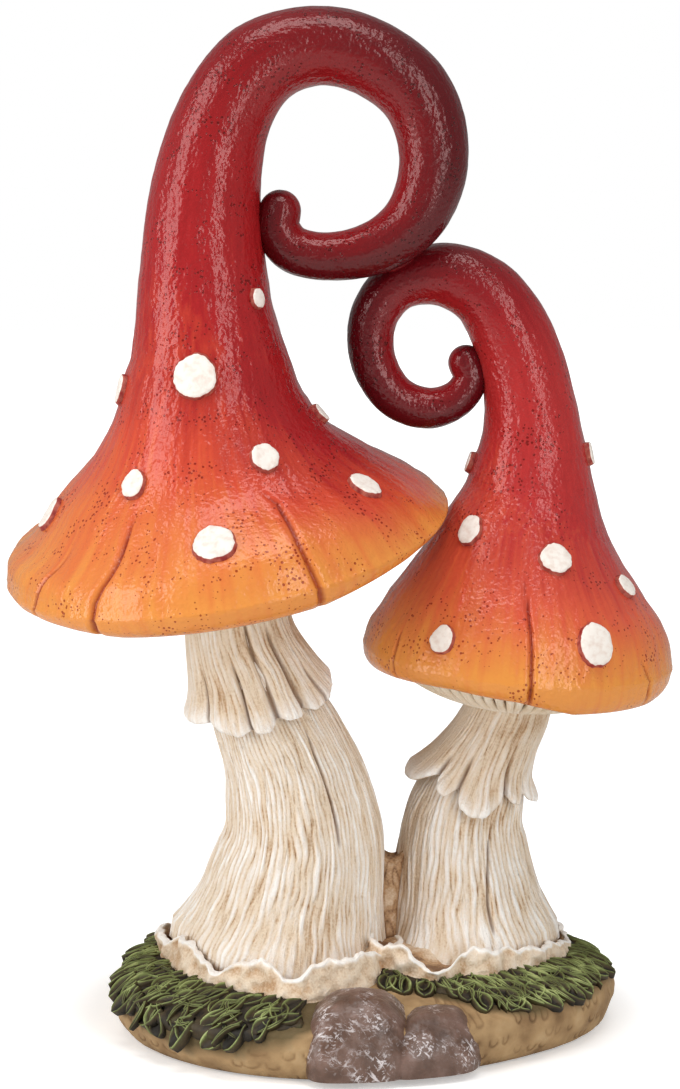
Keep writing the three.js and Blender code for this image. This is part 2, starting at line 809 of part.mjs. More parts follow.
function grassSolid(mat) {
  const solids = [turfSolid(mat)];
  const pitch = THREE.MathUtils.radToDeg(BLADE_PITCH / MOUND_HALF_WIDTH);
  for (let row = 0; row * BLADE_ROW < GRASS_INNER; row++) {
    const columns = Math.floor((mat.at(-1)[0] - mat[0][0]) / pitch);
    for (let column = 1; column < columns; column++) {
      const number = row * columns + column;
      const degrees = mat[0][0] + pitch * (column + (row % 2) / 2 + 0.25 * scatter(number + 0.7));
      const inward = matEdge(mat, degrees) + BLADE_LENGTH * 0.6 + BLADE_ROW * row;
      if (inward > GRASS_INNER) continue;
      solids.push(bladeSolid(THREE.MathUtils.degToRad(degrees), inward, number));
    }
  }
  return wasm.Manifold.union(solids);
}

// Spots: rounded pads that hug the cap

function spotSolid(cap, [distance, degrees, width, height]) {
  const bearing = THREE.MathUtils.degToRad(degrees);
  const t = placeAfter(cap, distance);
  const here = frameAt(cap, t);
  const ahead = frameAt(cap, Math.min(1, t + 0.002));
  const at = around(here, bearing, here.radius);
  const up = around(ahead, bearing, ahead.radius).sub(at).normalize();
  const sideways = around(here, bearing + 0.01, here.radius).sub(at).normalize();
  const out = new THREE.Vector3().crossVectors(sideways, up).normalize();
  const rings = [];
  for (const [share, rise] of [[0.94, -SPOT_ROOT], [1, SPOT_RISE * 0.6], [0.82, SPOT_RISE]]) {
    const ring = [];
    for (let j = 0; j < SPOT_SIDES; j++) {
      const turn = turnOf(j, SPOT_SIDES);
      const size = (share / 2) * (1 + 0.05 * Math.cos(3 * turn + distance));
      const point = at.clone().addScaledVector(out, rise);
      point.addScaledVector(sideways, width * size * Math.cos(turn));
      ring.push(point.addScaledVector(up, height * size * Math.sin(turn)));
    }
    rings.push(ring);
  }
  return loft(rings);
}

// Finishes
const paint = (color, roughness) => new THREE.MeshStandardMaterial({ color, roughness, metalness: 0 });
const redLacquer = paint('#b3261f', 0.35);
const orangeLacquer = paint('#c8452a', 0.35);
const whitePaint = paint('#efe6dc', 0.7);
const stemPaint = paint('#d6bf9f', 0.75);
const gillPaint = paint('#cbb391', 0.8);
const sandPaint = paint('#b08a55', 0.85);
const grassPaint = paint('#52662a', 0.8);
const stonePaint = paint('#6b564a', 0.7);

// Assembly: each piece is cut by the grown shape of the pieces that it fits round
const largeStem = stemSpine(LARGE_STEM, LARGE_FOOT_X, LARGE_FOOT_Y);
const smallStem = stemSpine(SMALL_STEM, SMALL_FOOT_X, SMALL_FOOT_Y);
const largeCap = capSpine(LARGE_CAP, largeStem);
const smallCap = capSpine(SMALL_CAP, smallStem);

const largeStemFit = stemSolid(largeStem, GLUE_GAP);
const smallStemFit = stemSolid(smallStem, GLUE_GAP);
const largeCapFit = capSolid(largeCap, LARGE_LIP, LARGE_LIP_LIFT, GLUE_GAP);
const smallCapFit = capSolid(smallCap, SMALL_LIP, SMALL_LIP_LIFT, GLUE_GAP);
const largeStoneFit = stoneSolid(LARGE_STONE, GLUE_GAP);
const smallStoneFit = stoneSolid(SMALL_STONE, GLUE_GAP);
const moundFit = moundSolid(GLUE_GAP);

const ornament = new THREE.Group();
const add = (name, solid, material) => ornament.add(toMesh(name, solid, material));

add(
  'ground',
  moundSolid(0).subtract(largeStemFit).subtract(smallStemFit).subtract(largeStoneFit).subtract(smallStoneFit),
  sandPaint
);
add('large_stone', stoneSolid(LARGE_STONE, 0), stonePaint);
add('small_stone', stoneSolid(SMALL_STONE, 0).subtract(largeStoneFit), stonePaint);
add('large_stem', stemSolid(largeStem, 0), stemPaint);
add('small_stem', stemSolid(smallStem, 0).subtract(largeStemFit), stemPaint);
add('large_cap', capSolid(largeCap, LARGE_LIP, LARGE_LIP_LIFT, 0).subtract(largeStemFit), redLacquer);
add(
  'small_cap',
  capSolid(smallCap, SMALL_LIP, SMALL_LIP_LIFT, 0).subtract(smallStemFit).subtract(largeCapFit),
  orangeLacquer
);
add(
  'curl_bead',
  beadSolid(largeCap, smallCap).subtract(largeCapFit).subtract(smallCapFit),
  redLacquer
);
add(
  'large_gills',
  gillSolid(largeCap, LARGE_LIP, LARGE_GILL_DROP, true, 0).subtract(largeStemFit),
  gillPaint
);
add(
  'small_gills',
  gillSolid(smallCap, SMALL_LIP, SMALL_GILL_DROP, true, 0).subtract(smallStemFit),
  gillPaint
);

const largeGillFit = gillSolid(largeCap, LARGE_LIP, LARGE_GILL_DROP, false, GLUE_GAP);
const smallGillFit = gillSolid(smallCap, SMALL_LIP, SMALL_GILL_DROP, false, GLUE_GAP);
add(
  'large_skirt',
  skirtSolid(largeStem, LARGE_SKIRT, LARGE_SKIRT_TOP).subtract(largeStemFit).subtract(largeGillFit),
  stemPaint
);
add(
  'small_skirt',
  skirtSolid(smallStem, SMALL_SKIRT, SMALL_SKIRT_TOP).subtract(smallStemFit).subtract(smallGillFit),
  stemPaint
);

const stonesFit = largeStoneFit.add(smallStoneFit);
const frillClear = largeStemFit.add(smallStemFit).add(moundFit).add(stonesFit);
const largeFrillFit = frillSolid(largeStem, LARGE_FRILL, GLUE_GAP);
const smallFrillFit = frillSolid(smallStem, SMALL_FRILL, GLUE_GAP);
add('large_frill', frillSolid(largeStem, LARGE_FRILL, 0).subtract(frillClear), stemPaint);
add(
  'small_frill',
  frillSolid(smallStem, SMALL_FRILL, 0).subtract(frillClear).subtract(largeFrillFit),
  stemPaint
);

add(
  'stem_web',
  webSolid(largeStem, smallStem).subtract(frillClear).subtract(largeFrillFit).subtract(smallFrillFit),
  stemPaint
);

const frillRooms = frillRoom(largeStem, LARGE_FRILL).add(frillRoom(smallStem, SMALL_FRILL));
const grassClear = moundFit.add(frillRooms).add(stonesFit);
for (const [name, mat] of Object.entries(GRASS_MATS)) {
  add(name, grassSolid(mat).subtract(grassClear), grassPaint);
}

LARGE_SPOTS.forEach((spot, i) => {
  add(`large_spot_${i + 1}`, spotSolid(largeCap, spot).subtract(largeCapFit), whitePaint);
});
SMALL_SPOTS.forEach((spot, i) => {
  add(`small_spot_${i + 1}`, spotSolid(smallCap, spot).subtract(smallCapFit), whitePaint);
});

// The middle of the ornament's box stands over the origin
const box = new THREE.Box3().setFromObject(ornament);
const middle = box.getCenter(new THREE.Vector3());
ornament.position.set(-middle.x, -middle.y, -box.min.z);

export default ornament;
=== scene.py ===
import json

import bpy
import numpy as np
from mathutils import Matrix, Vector

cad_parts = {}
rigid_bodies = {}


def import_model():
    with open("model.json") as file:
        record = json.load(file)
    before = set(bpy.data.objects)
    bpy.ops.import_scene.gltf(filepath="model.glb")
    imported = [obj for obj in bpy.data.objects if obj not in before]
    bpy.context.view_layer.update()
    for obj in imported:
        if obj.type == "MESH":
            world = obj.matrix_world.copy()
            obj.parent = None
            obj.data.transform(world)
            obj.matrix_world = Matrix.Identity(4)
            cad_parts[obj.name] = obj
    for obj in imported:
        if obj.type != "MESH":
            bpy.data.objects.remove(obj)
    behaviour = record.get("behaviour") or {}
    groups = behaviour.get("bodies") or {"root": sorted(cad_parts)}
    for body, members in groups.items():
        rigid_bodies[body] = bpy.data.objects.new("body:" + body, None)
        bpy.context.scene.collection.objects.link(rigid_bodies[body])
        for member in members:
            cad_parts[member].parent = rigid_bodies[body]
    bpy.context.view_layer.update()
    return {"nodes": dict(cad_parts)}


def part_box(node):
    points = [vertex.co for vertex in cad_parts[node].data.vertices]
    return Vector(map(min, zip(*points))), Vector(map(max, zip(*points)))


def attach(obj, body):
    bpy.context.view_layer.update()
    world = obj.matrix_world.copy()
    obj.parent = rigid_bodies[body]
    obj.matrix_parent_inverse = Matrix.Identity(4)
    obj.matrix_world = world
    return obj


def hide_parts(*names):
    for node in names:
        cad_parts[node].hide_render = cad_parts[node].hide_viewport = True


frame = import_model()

print("frame:", len(frame["nodes"]), "solids loaded")

# Shapes are worked out in millimetres and set down in metres, +Z up, the front towards -Y.
mm = 0.001
dice = np.random.RandomState(11)
noiseOrder = np.tile(dice.permutation(256), 2)
noiseSlopes = dice.normal(size=(256, 3))
noiseSlopes /= np.linalg.norm(noiseSlopes, axis=1, keepdims=True)


def unit(rows):
    return rows / np.linalg.norm(rows, axis=-1, keepdims=True)


def softNoise(points, size, seed=0):  # about -1 to 1, with lumps about a size across
    p = np.asarray(points, float) / size + seed * 17.31
    cell = np.floor(p).astype(int)
    inside = p - cell
    fade = inside ** 3 * (inside * (inside * 6 - 15) + 10)
    total = np.zeros(len(p))
    for corner in range(8):
        step = np.array([corner & 1, corner >> 1 & 1, corner >> 2 & 1])
        c = (cell + step) & 255
        key = noiseOrder[noiseOrder[noiseOrder[c[:, 0]] + c[:, 1]] + c[:, 2]]
        weight = np.prod(np.where(step == 1, fade, 1 - fade), axis=1)
        total += weight * np.sum(noiseSlopes[key] * (inside - step), axis=1)
    return total * 1.6


def relief(points, height, size, seed):  # the same lumps, of a height in mm
    return height * softNoise(points, size, seed)


def creases(points, size, seed=0):  # 0 in narrow creases, 1 on the broad ridges between them
    return np.minimum(1, np.abs(softNoise(points, size, seed)) * 2.4) ** 0.7


def smoothStep(value, low, high):
    share = np.clip((value - low) / (high - low), 0, 1)
    return share * share * (3 - 2 * share)


def roundTurn(count):  # bearings in radians, once round from 0
    return np.arange(count) / count * 2 * np.pi


def wrapped(turn):  # bearings brought between minus and plus half a turn
    return (turn + np.pi) % (2 * np.pi) - np.pi


def byBearing(rows, turn, column, blur=0):  # a column of a table of bearings, read at bearings in radians
    values = np.interp(np.degrees(turn), *[[row[i] for row in rows] for i in (0, column)])
    if not blur:
        return values
    soft = np.hanning(blur) / np.hanning(blur).sum()
    return np.convolve(np.tile(values, 3), soft, "same")[len(turn):2 * len(turn)]


# Middle lines
spineSamples = 3001
nearby = 1e-4  # the share of a line on each side of a place that gives its direction there


def throughStations(rows, share, chordwise):  # the smooth line through rows of numbers
    rows = np.asarray(rows, float)
    place = np.clip(share, 0, 1) * (len(rows) - 1)
    i = np.minimum(place.astype(int), len(rows) - 2)
    w = (place - i)[:, None]
    longer = np.vstack([2 * rows[0] - rows[1], rows, 2 * rows[-1] - rows[-2]])
    a, b, c, d = longer[i], longer[i + 1], longer[i + 2], longer[i + 3]
    leave, reach = (c - a) / 2, (d - b) / 2
    if chordwise:  # stations that stand unevenly are weighed by how far apart they are
        ab, bc, cd = (np.sum((q - p) ** 2, axis=1)[:, None] ** 0.25 for p, q in ((a, b), (b, c), (c, d)))
        leave = ((b - a) / ab - (c - a) / (ab + bc) + (c - b) / bc) * bc
        reach = ((c - b) / bc - (d - b) / (bc + cd) + (d - c) / cd) * bc
    square, cube = 3 * (c - b) - 2 * leave - reach, 2 * (b - c) + leave + reach
    return b + leave * w + square * w ** 2 + cube * w ** 3


def growSpine(stations, place):
    stations = np.array(stations, float)
    line = stations[:, :3] + place
    share = np.linspace(0, 1, spineSamples)
    points = throughStations(line, share, True)
    run = np.concatenate([[0], np.cumsum(np.linalg.norm(np.diff(points, axis=0), axis=1))])
    return {"line": line, "radii": stations[:, 3:], "share": share, "run": run, "points": points}


def framesAt(spine, distance):  # middle, along, right, back and radius at distances up a spine
    share = np.interp(distance, spine["run"], spine["share"])
    ahead = throughStations(spine["line"], np.clip(share + nearby, 0, 1), True)
    behind = throughStations(spine["line"], np.clip(share - nearby, 0, 1), True)
    along = unit(ahead - behind)
    right = unit(np.cross([0, 1, 0], along))
    radius = throughStations(spine["radii"], share, False)[:, 0]
    return throughStations(spine["line"], share, True), along, right, np.cross(along, right), radius


def frameAt(spine, distance):  # the same at one distance
    return [value[0] for value in framesAt(spine, np.array([distance]))]


def spokes(right, back, turn):  # the way out from a middle line at each bearing
    return right * np.cos(turn)[:, None] + back * np.sin(turn)[:, None]


def distanceAtHeight(spine, height):  # for a stem, which only climbs
    return np.interp(height, spine["points"][:, 2], spine["run"])


# Meshes

def tubeFaces(counts):  # between rings of points; a ring may have twice or half the points of the last
    faces = []
    start = 0
    for here, there in zip(counts, counts[1:]):
        low, top = start, start + here
        j = np.arange(min(here, there))
        k = (j + 1) % len(j)
        if here == there:
            faces += np.stack([low + j, low + k, top + k, top + j], 1).tolist()
        else:
            many, few = (low, top) if here > there else (top, low)
            a, b, c = many + 2 * j, many + 2 * j + 1, many + (2 * j + 2) % (2 * len(j))
            for wedge in ((a, b, few + j), (b, few + k, few + j), (b, c, few + k)):
                wedge = np.stack(wedge, 1)
                faces += (wedge if here > there else wedge[:, ::-1]).tolist()
        start += here
    total = start + counts[-1]
    for ring, count, pole, turned in ((0, counts[0], total, True), (start, counts[-1], total + 1, False)):
        j = ring + np.arange(count)
        k = ring + (np.arange(count) + 1) % count
        faces += np.stack([np.full(count, pole), *((k, j) if turned else (j, k))], 1).tolist()
    return faces


def places(rows, columns):  # row and column of each place of a grid
    return (grid.ravel() for grid in np.meshgrid(rows, columns, indexing="ij"))


def loopFaces(rows, columns):  # a grid that closes on itself both ways
    i, j = places(np.arange(rows), np.arange(columns))
    up, on = (i + 1) % rows, (j + 1) % columns
    return np.stack([i * columns + j, i * columns + on, up * columns + on, up * columns + j], 1).tolist()


def withPoles(rings):  # the rings' points, then the middle of the first and last ring
    return np.vstack(rings + [rings[0].mean(axis=0), rings[-1].mean(axis=0)])


def toMesh(name, points, faces, material, tags):
    mesh = bpy.data.meshes.new(name)
    mesh.from_pydata(((np.asarray(points) + shift) * mm).tolist(), [], faces)
    for tag, values in tags.items():
        values = np.asarray(values, float)
        layer = mesh.attributes.new(tag, "FLOAT_VECTOR" if values.ndim == 2 else "FLOAT", "POINT")
        layer.data.foreach_set("vector" if values.ndim == 2 else "value", values.ravel())
    mesh.shade_smooth()
    mesh.materials.append(material)
    return mesh


def setDown(name, mesh, nodes):
    piece = bpy.data.objects.new(name, mesh)
    bpy.context.scene.collection.objects.link(piece)
    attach(piece, "root")
    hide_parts(*nodes)
    return piece


# Finishes

def linear(code):
    channels = [int(code[i:i + 2], 16) / 255 for i in (1, 3, 5)]
    return [c / 12.92 if c <= 0.04045 else ((c + 0.055) / 1.055) ** 2.4 for c in channels] + [1.0]


def addNode(tree, kind, feeds=None, output=0, stops=None, **settings):  # gives one of its outputs
    node = tree.nodes.new(kind if "Node" in kind else "ShaderNode" + kind)
    for setting, value in settings.items():
        setattr(node, setting, value)
    if stops:
        ramp = node.color_ramp
        ramp.elements.remove(ramp.elements[1])
        ramp.elements[0].position = stops[0][0]
        ramp.elements[0].color = linear(stops[0][1])
        for place, code in stops[1:]:
            ramp.elements.new(place).color = linear(code)
    for socket, value in (feeds or {}).items():
        if isinstance(value, bpy.types.NodeSocket):
            tree.links.new(value, node.inputs[socket])
        else:
            node.inputs[socket].default_value = value
    return node.outputs[output] if node.outputs else node


def alongGrain(width, length):  # a scale that draws a pattern out along the brush
    return (1 / width, 1 / width, 1 / length)


def newFinish(name):  # an empty finish, its tree and the place on the piece
    finish = bpy.data.materials.new(name)
    finish.use_nodes = True
    tree = finish.node_tree
    tree.nodes.clear()
    return finish, tree, addNode(tree, "TexCoord", output="Object")


# Sprayed lacquer over cast resin: a wet-looking skin whose highlights break up on brush lines and
# on the pinholes of the casting, orange at the rim and running to maroon at the curl.
lacquer = {
    "large": ["#df8e41", "#d66f38", "#c8472f", "#a01c1f", "#801015", "#54080f"],  # from rim to curl
    "small": ["#df9041", "#d8743d", "#d05539", "#b02d2c", "#8a161b", "#560a12"],
    "stops": [0.0, 0.12, 0.26, 0.42, 0.68, 1.0],
    "brush": (2.0, 3.5), "stroke": (1.5, 28),  # width and length in mm
    "cloud": 16, "pebble": 1.5, "pitSpacing": 1.5, "pitPatch": 11,  # mm
    "pitShade": (0.47, 0.2, 0.15, 1), "sheen": (1.0, 0.74, 0.72, 1.0), "roughness": (0.17, 0.26),
}


def sprayedLacquer(name, shades):
    finish, tree, place = newFinish(name)
    grain = addNode(tree, "Attribute", attribute_name="grain", output="Vector")
    glaze = addNode(tree, "Attribute", attribute_name="glaze", output="Fac")
    cut = addNode(tree, "Attribute", attribute_name="cut", output="Fac")
    cloud = addNode(tree, "TexNoise", {"Vector": place, "Scale": 1000 / lacquer["cloud"], "Detail": 3})
    brushed = addNode(tree, "Mapping", {"Vector": grain, "Scale": alongGrain(*lacquer["brush"])})
    brush = addNode(tree, "TexNoise", {"Vector": brushed, "Scale": 1, "Detail": 1, "Roughness": 0.5})
    drawn = addNode(tree, "Mapping", {"Vector": grain, "Scale": alongGrain(*lacquer["stroke"])})
    stroke = addNode(tree, "TexNoise", {"Vector": drawn, "Scale": 1, "Detail": 2})
    drift = addNode(tree, "Math", {0: cloud, 1: 0.10, 2: -0.05}, operation="MULTIPLY_ADD")
    streak = addNode(tree, "Math", {0: stroke, 1: 0.2, 2: -0.1}, operation="MULTIPLY_ADD")
    tone = addNode(tree, "Math", {0: glaze, 1: drift}, operation="ADD")
    tone = addNode(tree, "Math", {0: tone, 1: streak}, operation="ADD")
    colour = addNode(tree, "ValToRGB", {"Fac": tone}, stops=list(zip(lacquer["stops"], shades)))
    spacing = 1000 / lacquer["pitSpacing"]
    cells = addNode(tree, "TexVoronoi", {"Vector": place, "Scale": spacing}, output="Distance")
    patch = addNode(tree, "TexNoise", {"Vector": place, "Scale": 1000 / lacquer["pitPatch"], "Detail": 2})
    reach = addNode(tree, "MapRange", {"Value": patch, 1: 0.38, 2: 0.64, 3: 0.0, 4: 0.34})
    pits = addNode(tree, "Math", {0: reach, 1: cells}, operation="SUBTRACT")
    pits = addNode(tree, "MapRange", {"Value": pits, 1: 0.0, 2: 0.08, 3: 0.0, 4: 1.0})
    deep = addNode(tree, "MapRange", {"Value": cut, 1: 0.15, 2: 0.9, 3: 0.0, 4: 1.0})
    dark = addNode(tree, "Math", {0: pits, 1: deep}, operation="MAXIMUM")
    colour = addNode(tree, "Mix", {0: dark, 6: colour, 7: lacquer["pitShade"]}, output=2,
                     data_type="RGBA", blend_type="MULTIPLY")
    pebble = addNode(tree, "TexNoise", {"Vector": place, "Scale": 1000 / lacquer["pebble"], "Detail": 1})
    bump = addNode(tree, "Bump", {"Height": brush, "Strength": 0.6, "Distance": 0.0004})
    bump = addNode(tree, "Bump", {"Height": pebble, "Strength": 0.6, "Distance": 0.0005, "Normal": bump})
    bump = addNode(tree, "Bump", {
        "Height": pits, "Strength": 0.8, "Distance": 0.0002, "Normal": bump}, invert=True)
    smooth, dull = lacquer["roughness"]
    rough = addNode(tree, "MapRange", {"Value": cloud, 1: 0.3, 2: 0.7, 3: smooth, 4: dull})
    skin = addNode(tree, "BsdfPrincipled", {
        "Base Color": colour, "Roughness": rough, "Normal": bump, "IOR": 1.5, "Specular IOR Level": 0.5,
        "Specular Tint": lacquer["sheen"]})
    addNode(tree, "OutputMaterial", {"Surface": skin})
    return finish


# Thick matt paint dabbed on the raised spots: chalk white on top, its sides a dark maroon, partly the lacquer
# left bare and partly painted shade round each spot.
spotPaint = {
    # side: the spot's walls in dark maroon, partly bare lacquer and partly painted shade
    "top": "#f1e9e0", "shade": "#e2d2c6", "side": "#8e2420", "stain": "#c0705c",
    "dab": 2.2, "roughness": 0.55,
}


def dabbedSpotPaint():
    finish, tree, place = newFinish("matt spot paint")
    white = addNode(tree, "Attribute", attribute_name="white", output="Fac")
    dabs = addNode(tree, "TexNoise", {"Vector": place, "Scale": 1000 / spotPaint["dab"], "Detail": 4})
    ragged = addNode(tree, "Math", {0: dabs, 1: 0.5, 2: -0.25}, operation="MULTIPLY_ADD")
    edge = addNode(tree, "Math", {0: white, 1: ragged}, operation="ADD")
    edge = addNode(tree, "MapRange", {"Value": edge, 1: 0.42, 2: 0.58, 3: 0.0, 4: 1.0})
    top = addNode(tree, "ValToRGB", {"Fac": dabs}, stops=[
        (0.3, spotPaint["shade"]), (0.55, spotPaint["top"])])
    # the dark maroon sides are partly painted shade round the spot
    side = addNode(tree, "ValToRGB", {"Fac": dabs}, stops=[
        (0.35, spotPaint["side"]), (0.75, spotPaint["stain"])])
    colour = addNode(tree, "Mix", {0: edge, 6: side, 7: top}, output=2, data_type="RGBA")
    bump = addNode(tree, "Bump", {"Height": dabs, "Strength": 0.5, "Distance": 0.0004})
    skin = addNode(tree, "BsdfPrincipled", {
        "Base Color": colour, "Roughness": spotPaint["roughness"], "Normal": bump, "IOR": 1.45})
    addNode(tree, "OutputMaterial", {"Surface": skin})
    return finish


# Dry-brushed matt paint on carved resin: brown wash left in the grooves, cream on the body and
# white dragged over the ridges, so the carving reads from far off.
stemPaint = {
    "stem": ["#7f5c3f", "#bf9972", "#e7d3b9", "#f2e6d8", "#fcf8f2"],  # wash, groove, body, cream, brushed
    "gill": ["#65452a", "#9c7850", "#cfae88", "#ecd9be", "#faf2e6"],
    "stops": [0.0, 0.16, 0.36, 0.6, 0.82],
    "patch": 16, "speckle": 0.8, "fibre": (0.7, 7), "roughness": 0.6,
}


def dryBrushedStemPaint(name, shades):
    finish, tree, place = newFinish(name)
    ridge = addNode(tree, "Attribute", attribute_name="ridge", output="Fac")
    cut = addNode(tree, "Attribute", attribute_name="cut", output="Fac")
    patch = addNode(tree, "TexNoise", {"Vector": place, "Scale": 1000 / stemPaint["patch"], "Detail": 3})
    speck = addNode(tree, "TexNoise", {"Vector": place, "Scale": 1000 / stemPaint["speckle"], "Detail": 2})
    grain = addNode(tree, "Attribute", attribute_name="grain", output="Vector")
    drawn = addNode(tree, "Mapping", {"Vector": grain, "Scale": alongGrain(*stemPaint["fibre"])})
    fibre = addNode(tree, "TexNoise", {"Vector": drawn, "Scale": 1, "Detail": 2})
    drift = addNode(tree, "Math", {0: patch, 1: 0.5, 2: -0.25}, operation="MULTIPLY_ADD")
    dots = addNode(tree, "Math", {0: speck, 1: 0.3, 2: -0.15}, operation="MULTIPLY_ADD")
    dots = addNode(tree, "Math", {0: fibre, 1: 0.5, 2: dots}, operation="MULTIPLY_ADD")
    dots = addNode(tree, "Math", {0: dots, 1: 0.25}, operation="SUBTRACT")
    tone = addNode(tree, "Math", {0: ridge, 1: drift}, operation="ADD")
    tone = addNode(tree, "Math", {0: tone, 1: dots}, operation="ADD")
    colour = addNode(tree, "ValToRGB", {"Fac": tone}, stops=list(zip(stemPaint["stops"], shades)))
    deep = addNode(tree, "MapRange", {"Value": cut, 1: 0.3, 2: 1.0, 3: 0.0, 4: 0.8})
    colour = addNode(tree, "Mix", {0: deep, 6: colour, 7: linear(shades[0])}, output=2, data_type="RGBA")
    bump = addNode(tree, "Bump", {"Height": speck, "Strength": 0.7, "Distance": 0.0006})
    bump = addNode(tree, "Bump", {"Height": fibre, "Strength": 0.9, "Distance": 0.0008, "Normal": bump})
    skin = addNode(tree, "BsdfPrincipled", {
        "Base Color": colour, "Roughness": stemPaint["roughness"], "Normal": bump, "IOR": 1.45})
    addNode(tree, "OutputMaterial", {"Surface": skin})
    return finish


# Sand-coloured matt paint: a gritty band with brown wash lying in its chipped scale marks.
sandPaint = {
    "wash": "#5d452b", "dark": "#886a47", "sand": "#ac8d64", "pale": "#c9b08a", "moss": "#433b1e",
    "patch": 9, "grit": 0.8, "roughness": 0.8,
}


def grittySandPaint():
    finish, tree, place = newFinish("gritty sand paint")
    patch = addNode(tree, "TexNoise", {"Vector": place, "Scale": 1000 / sandPaint["patch"], "Detail": 4})
    grit = addNode(tree, "TexNoise", {"Vector": place, "Scale": 1000 / sandPaint["grit"], "Detail": 2})
    ridge = addNode(tree, "Attribute", attribute_name="ridge", output="Fac")
    moss = addNode(tree, "Attribute", attribute_name="moss", output="Fac")
    tone = addNode(tree, "Math", {0: patch, 1: 0.6, 2: -0.05}, operation="MULTIPLY_ADD")
    tone = addNode(tree, "Math", {0: ridge, 1: 0.4, 2: tone}, operation="MULTIPLY_ADD")
    colour = addNode(tree, "ValToRGB", {"Fac": tone}, stops=[
        (0.15, sandPaint["wash"]), (0.35, sandPaint["dark"]),
        (0.55, sandPaint["sand"]), (0.85, sandPaint["pale"])])
    ragged = addNode(tree, "Math", {0: patch, 1: 1.1, 2: -0.55}, operation="MULTIPLY_ADD")
    green = addNode(tree, "Math", {0: moss, 1: ragged}, operation="ADD")
    green = addNode(tree, "MapRange", {"Value": green, 1: 0.3, 2: 0.9, 3: 0.0, 4: 0.8})
    mossGreen = linear(sandPaint["moss"])
    colour = addNode(tree, "Mix", {0: green, 6: colour, 7: mossGreen}, output=2, data_type="RGBA")
    bump = addNode(tree, "Bump", {"Height": grit, "Strength": 0.5, "Distance": 0.0004})
    skin = addNode(tree, "BsdfPrincipled", {
        "Base Color": colour, "Roughness": sandPaint["roughness"], "Normal": bump, "IOR": 1.45})
    addNode(tree, "OutputMaterial", {"Surface": skin})
    return finish


# Matt green paint on moulded blades: almost black in the hollows and on the blades' under walls, partly the
# dark base coat and partly painted shade, light green dragged over the edges.
grassPaint = {
    "hollow": "#1d170c", "shade": "#3c2f18", "blade": "#484521", "edge": "#758147", "tip": "#a9b374",
    "patch": 9, "speck": 0.9, "roughness": 0.6,
}


def dryBrushedGrassPaint():
    finish, tree, place = newFinish("dry-brushed grass paint")
    edge = addNode(tree, "Attribute", attribute_name="edge", output="Fac")
    patch = addNode(tree, "TexNoise", {"Vector": place, "Scale": 1000 / grassPaint["patch"], "Detail": 4})
    drift = addNode(tree, "Math", {0: patch, 1: 1.4, 2: -0.8}, operation="MULTIPLY_ADD")
    tone = addNode(tree, "Math", {0: edge, 1: drift}, operation="ADD")
    colour = addNode(tree, "ValToRGB", {"Fac": tone}, stops=[
        (0.0, grassPaint["hollow"]), (0.22, grassPaint["shade"]), (0.5, grassPaint["blade"]),
        (0.8, grassPaint["edge"]), (1.0, grassPaint["tip"])])
    speck = addNode(tree, "TexNoise", {"Vector": place, "Scale": 1000 / grassPaint["speck"], "Detail": 2})
    bump = addNode(tree, "Bump", {"Height": speck, "Strength": 0.4, "Distance": 0.0003})
    skin = addNode(tree, "BsdfPrincipled", {
        "Base Color": colour, "Roughness": grassPaint["roughness"], "Normal": bump, "IOR": 1.45})
    addNode(tree, "OutputMaterial", {"Surface": skin})
    return finish


# Satin brown-grey paint on boulders: smooth worn tops with pale scratches dragged across them.
rockPaint = {
    "dark": "#3d2a21", "stone": "#61473a", "worn": "#80655a", "scratch": "#ded6d6",
    "patch": 7, "grain": 1.1, "scratchPatch": 11, "roughness": 0.33,
    "drags": [(0.2, 0.6, 0.0), (0.0, -0.7, 0.3), (0.3, 1.45, 0.0)],  # directions of the dragged brush
    "dragStretch": (1, 1, 6),
}


def scratchedStonePaint():
    finish, tree, place = newFinish("scratched stone paint")
    ridge = addNode(tree, "Attribute", attribute_name="ridge", output="Fac")
    patch = addNode(tree, "TexNoise", {
        "Vector": place, "Scale": 1000 / rockPaint["patch"], "Detail": 5, "Roughness": 0.6})
    drag = 0.0
    for way in rockPaint["drags"]:
        turned = addNode(tree, "Mapping", {
            "Vector": place, "Rotation": way, "Scale": rockPaint["dragStretch"]}, vector_type="TEXTURE")
        stroke = addNode(tree, "TexNoise", {
            "Vector": turned, "Scale": 1000 / rockPaint["grain"], "Detail": 3, "Roughness": 0.6})
        stroke = addNode(tree, "MapRange", {"Value": stroke, 1: 0.57, 2: 0.65, 3: 0.0, 4: 0.9})
        drag = addNode(tree, "Math", {0: stroke, 1: drag}, operation="MAXIMUM")
    tone = addNode(tree, "Math", {0: ridge, 1: 0.55, 2: patch}, operation="MULTIPLY_ADD")
    colour = addNode(tree, "ValToRGB", {"Fac": tone}, stops=[
        (0.4, rockPaint["dark"]), (0.72, rockPaint["stone"]), (1.05, rockPaint["worn"])])
    where = addNode(tree, "TexNoise", {
        "Vector": place, "Scale": 1000 / rockPaint["scratchPatch"], "Detail": 3})
    spread = addNode(tree, "MapRange", {"Value": where, 1: 0.46, 2: 0.6, 3: 0.0, 4: 1.0})
    marks = addNode(tree, "Math", {0: drag, 1: spread}, operation="MULTIPLY")
    scratch = linear(rockPaint["scratch"])
    colour = addNode(tree, "Mix", {0: marks, 6: colour, 7: scratch}, output=2, data_type="RGBA")
    bump = addNode(tree, "Bump", {"Height": patch, "Strength": 0.3, "Distance": 0.0012})
    bump = addNode(tree, "Bump", {"Height": drag, "Strength": 0.3, "Distance": 0.0004, "Normal": bump})
    skin = addNode(tree, "BsdfPrincipled", {
        "Base Color": colour, "Roughness": rockPaint["roughness"], "Normal": bump, "IOR": 1.5})
    addNode(tree, "OutputMaterial", {"Surface": skin})
    return finish


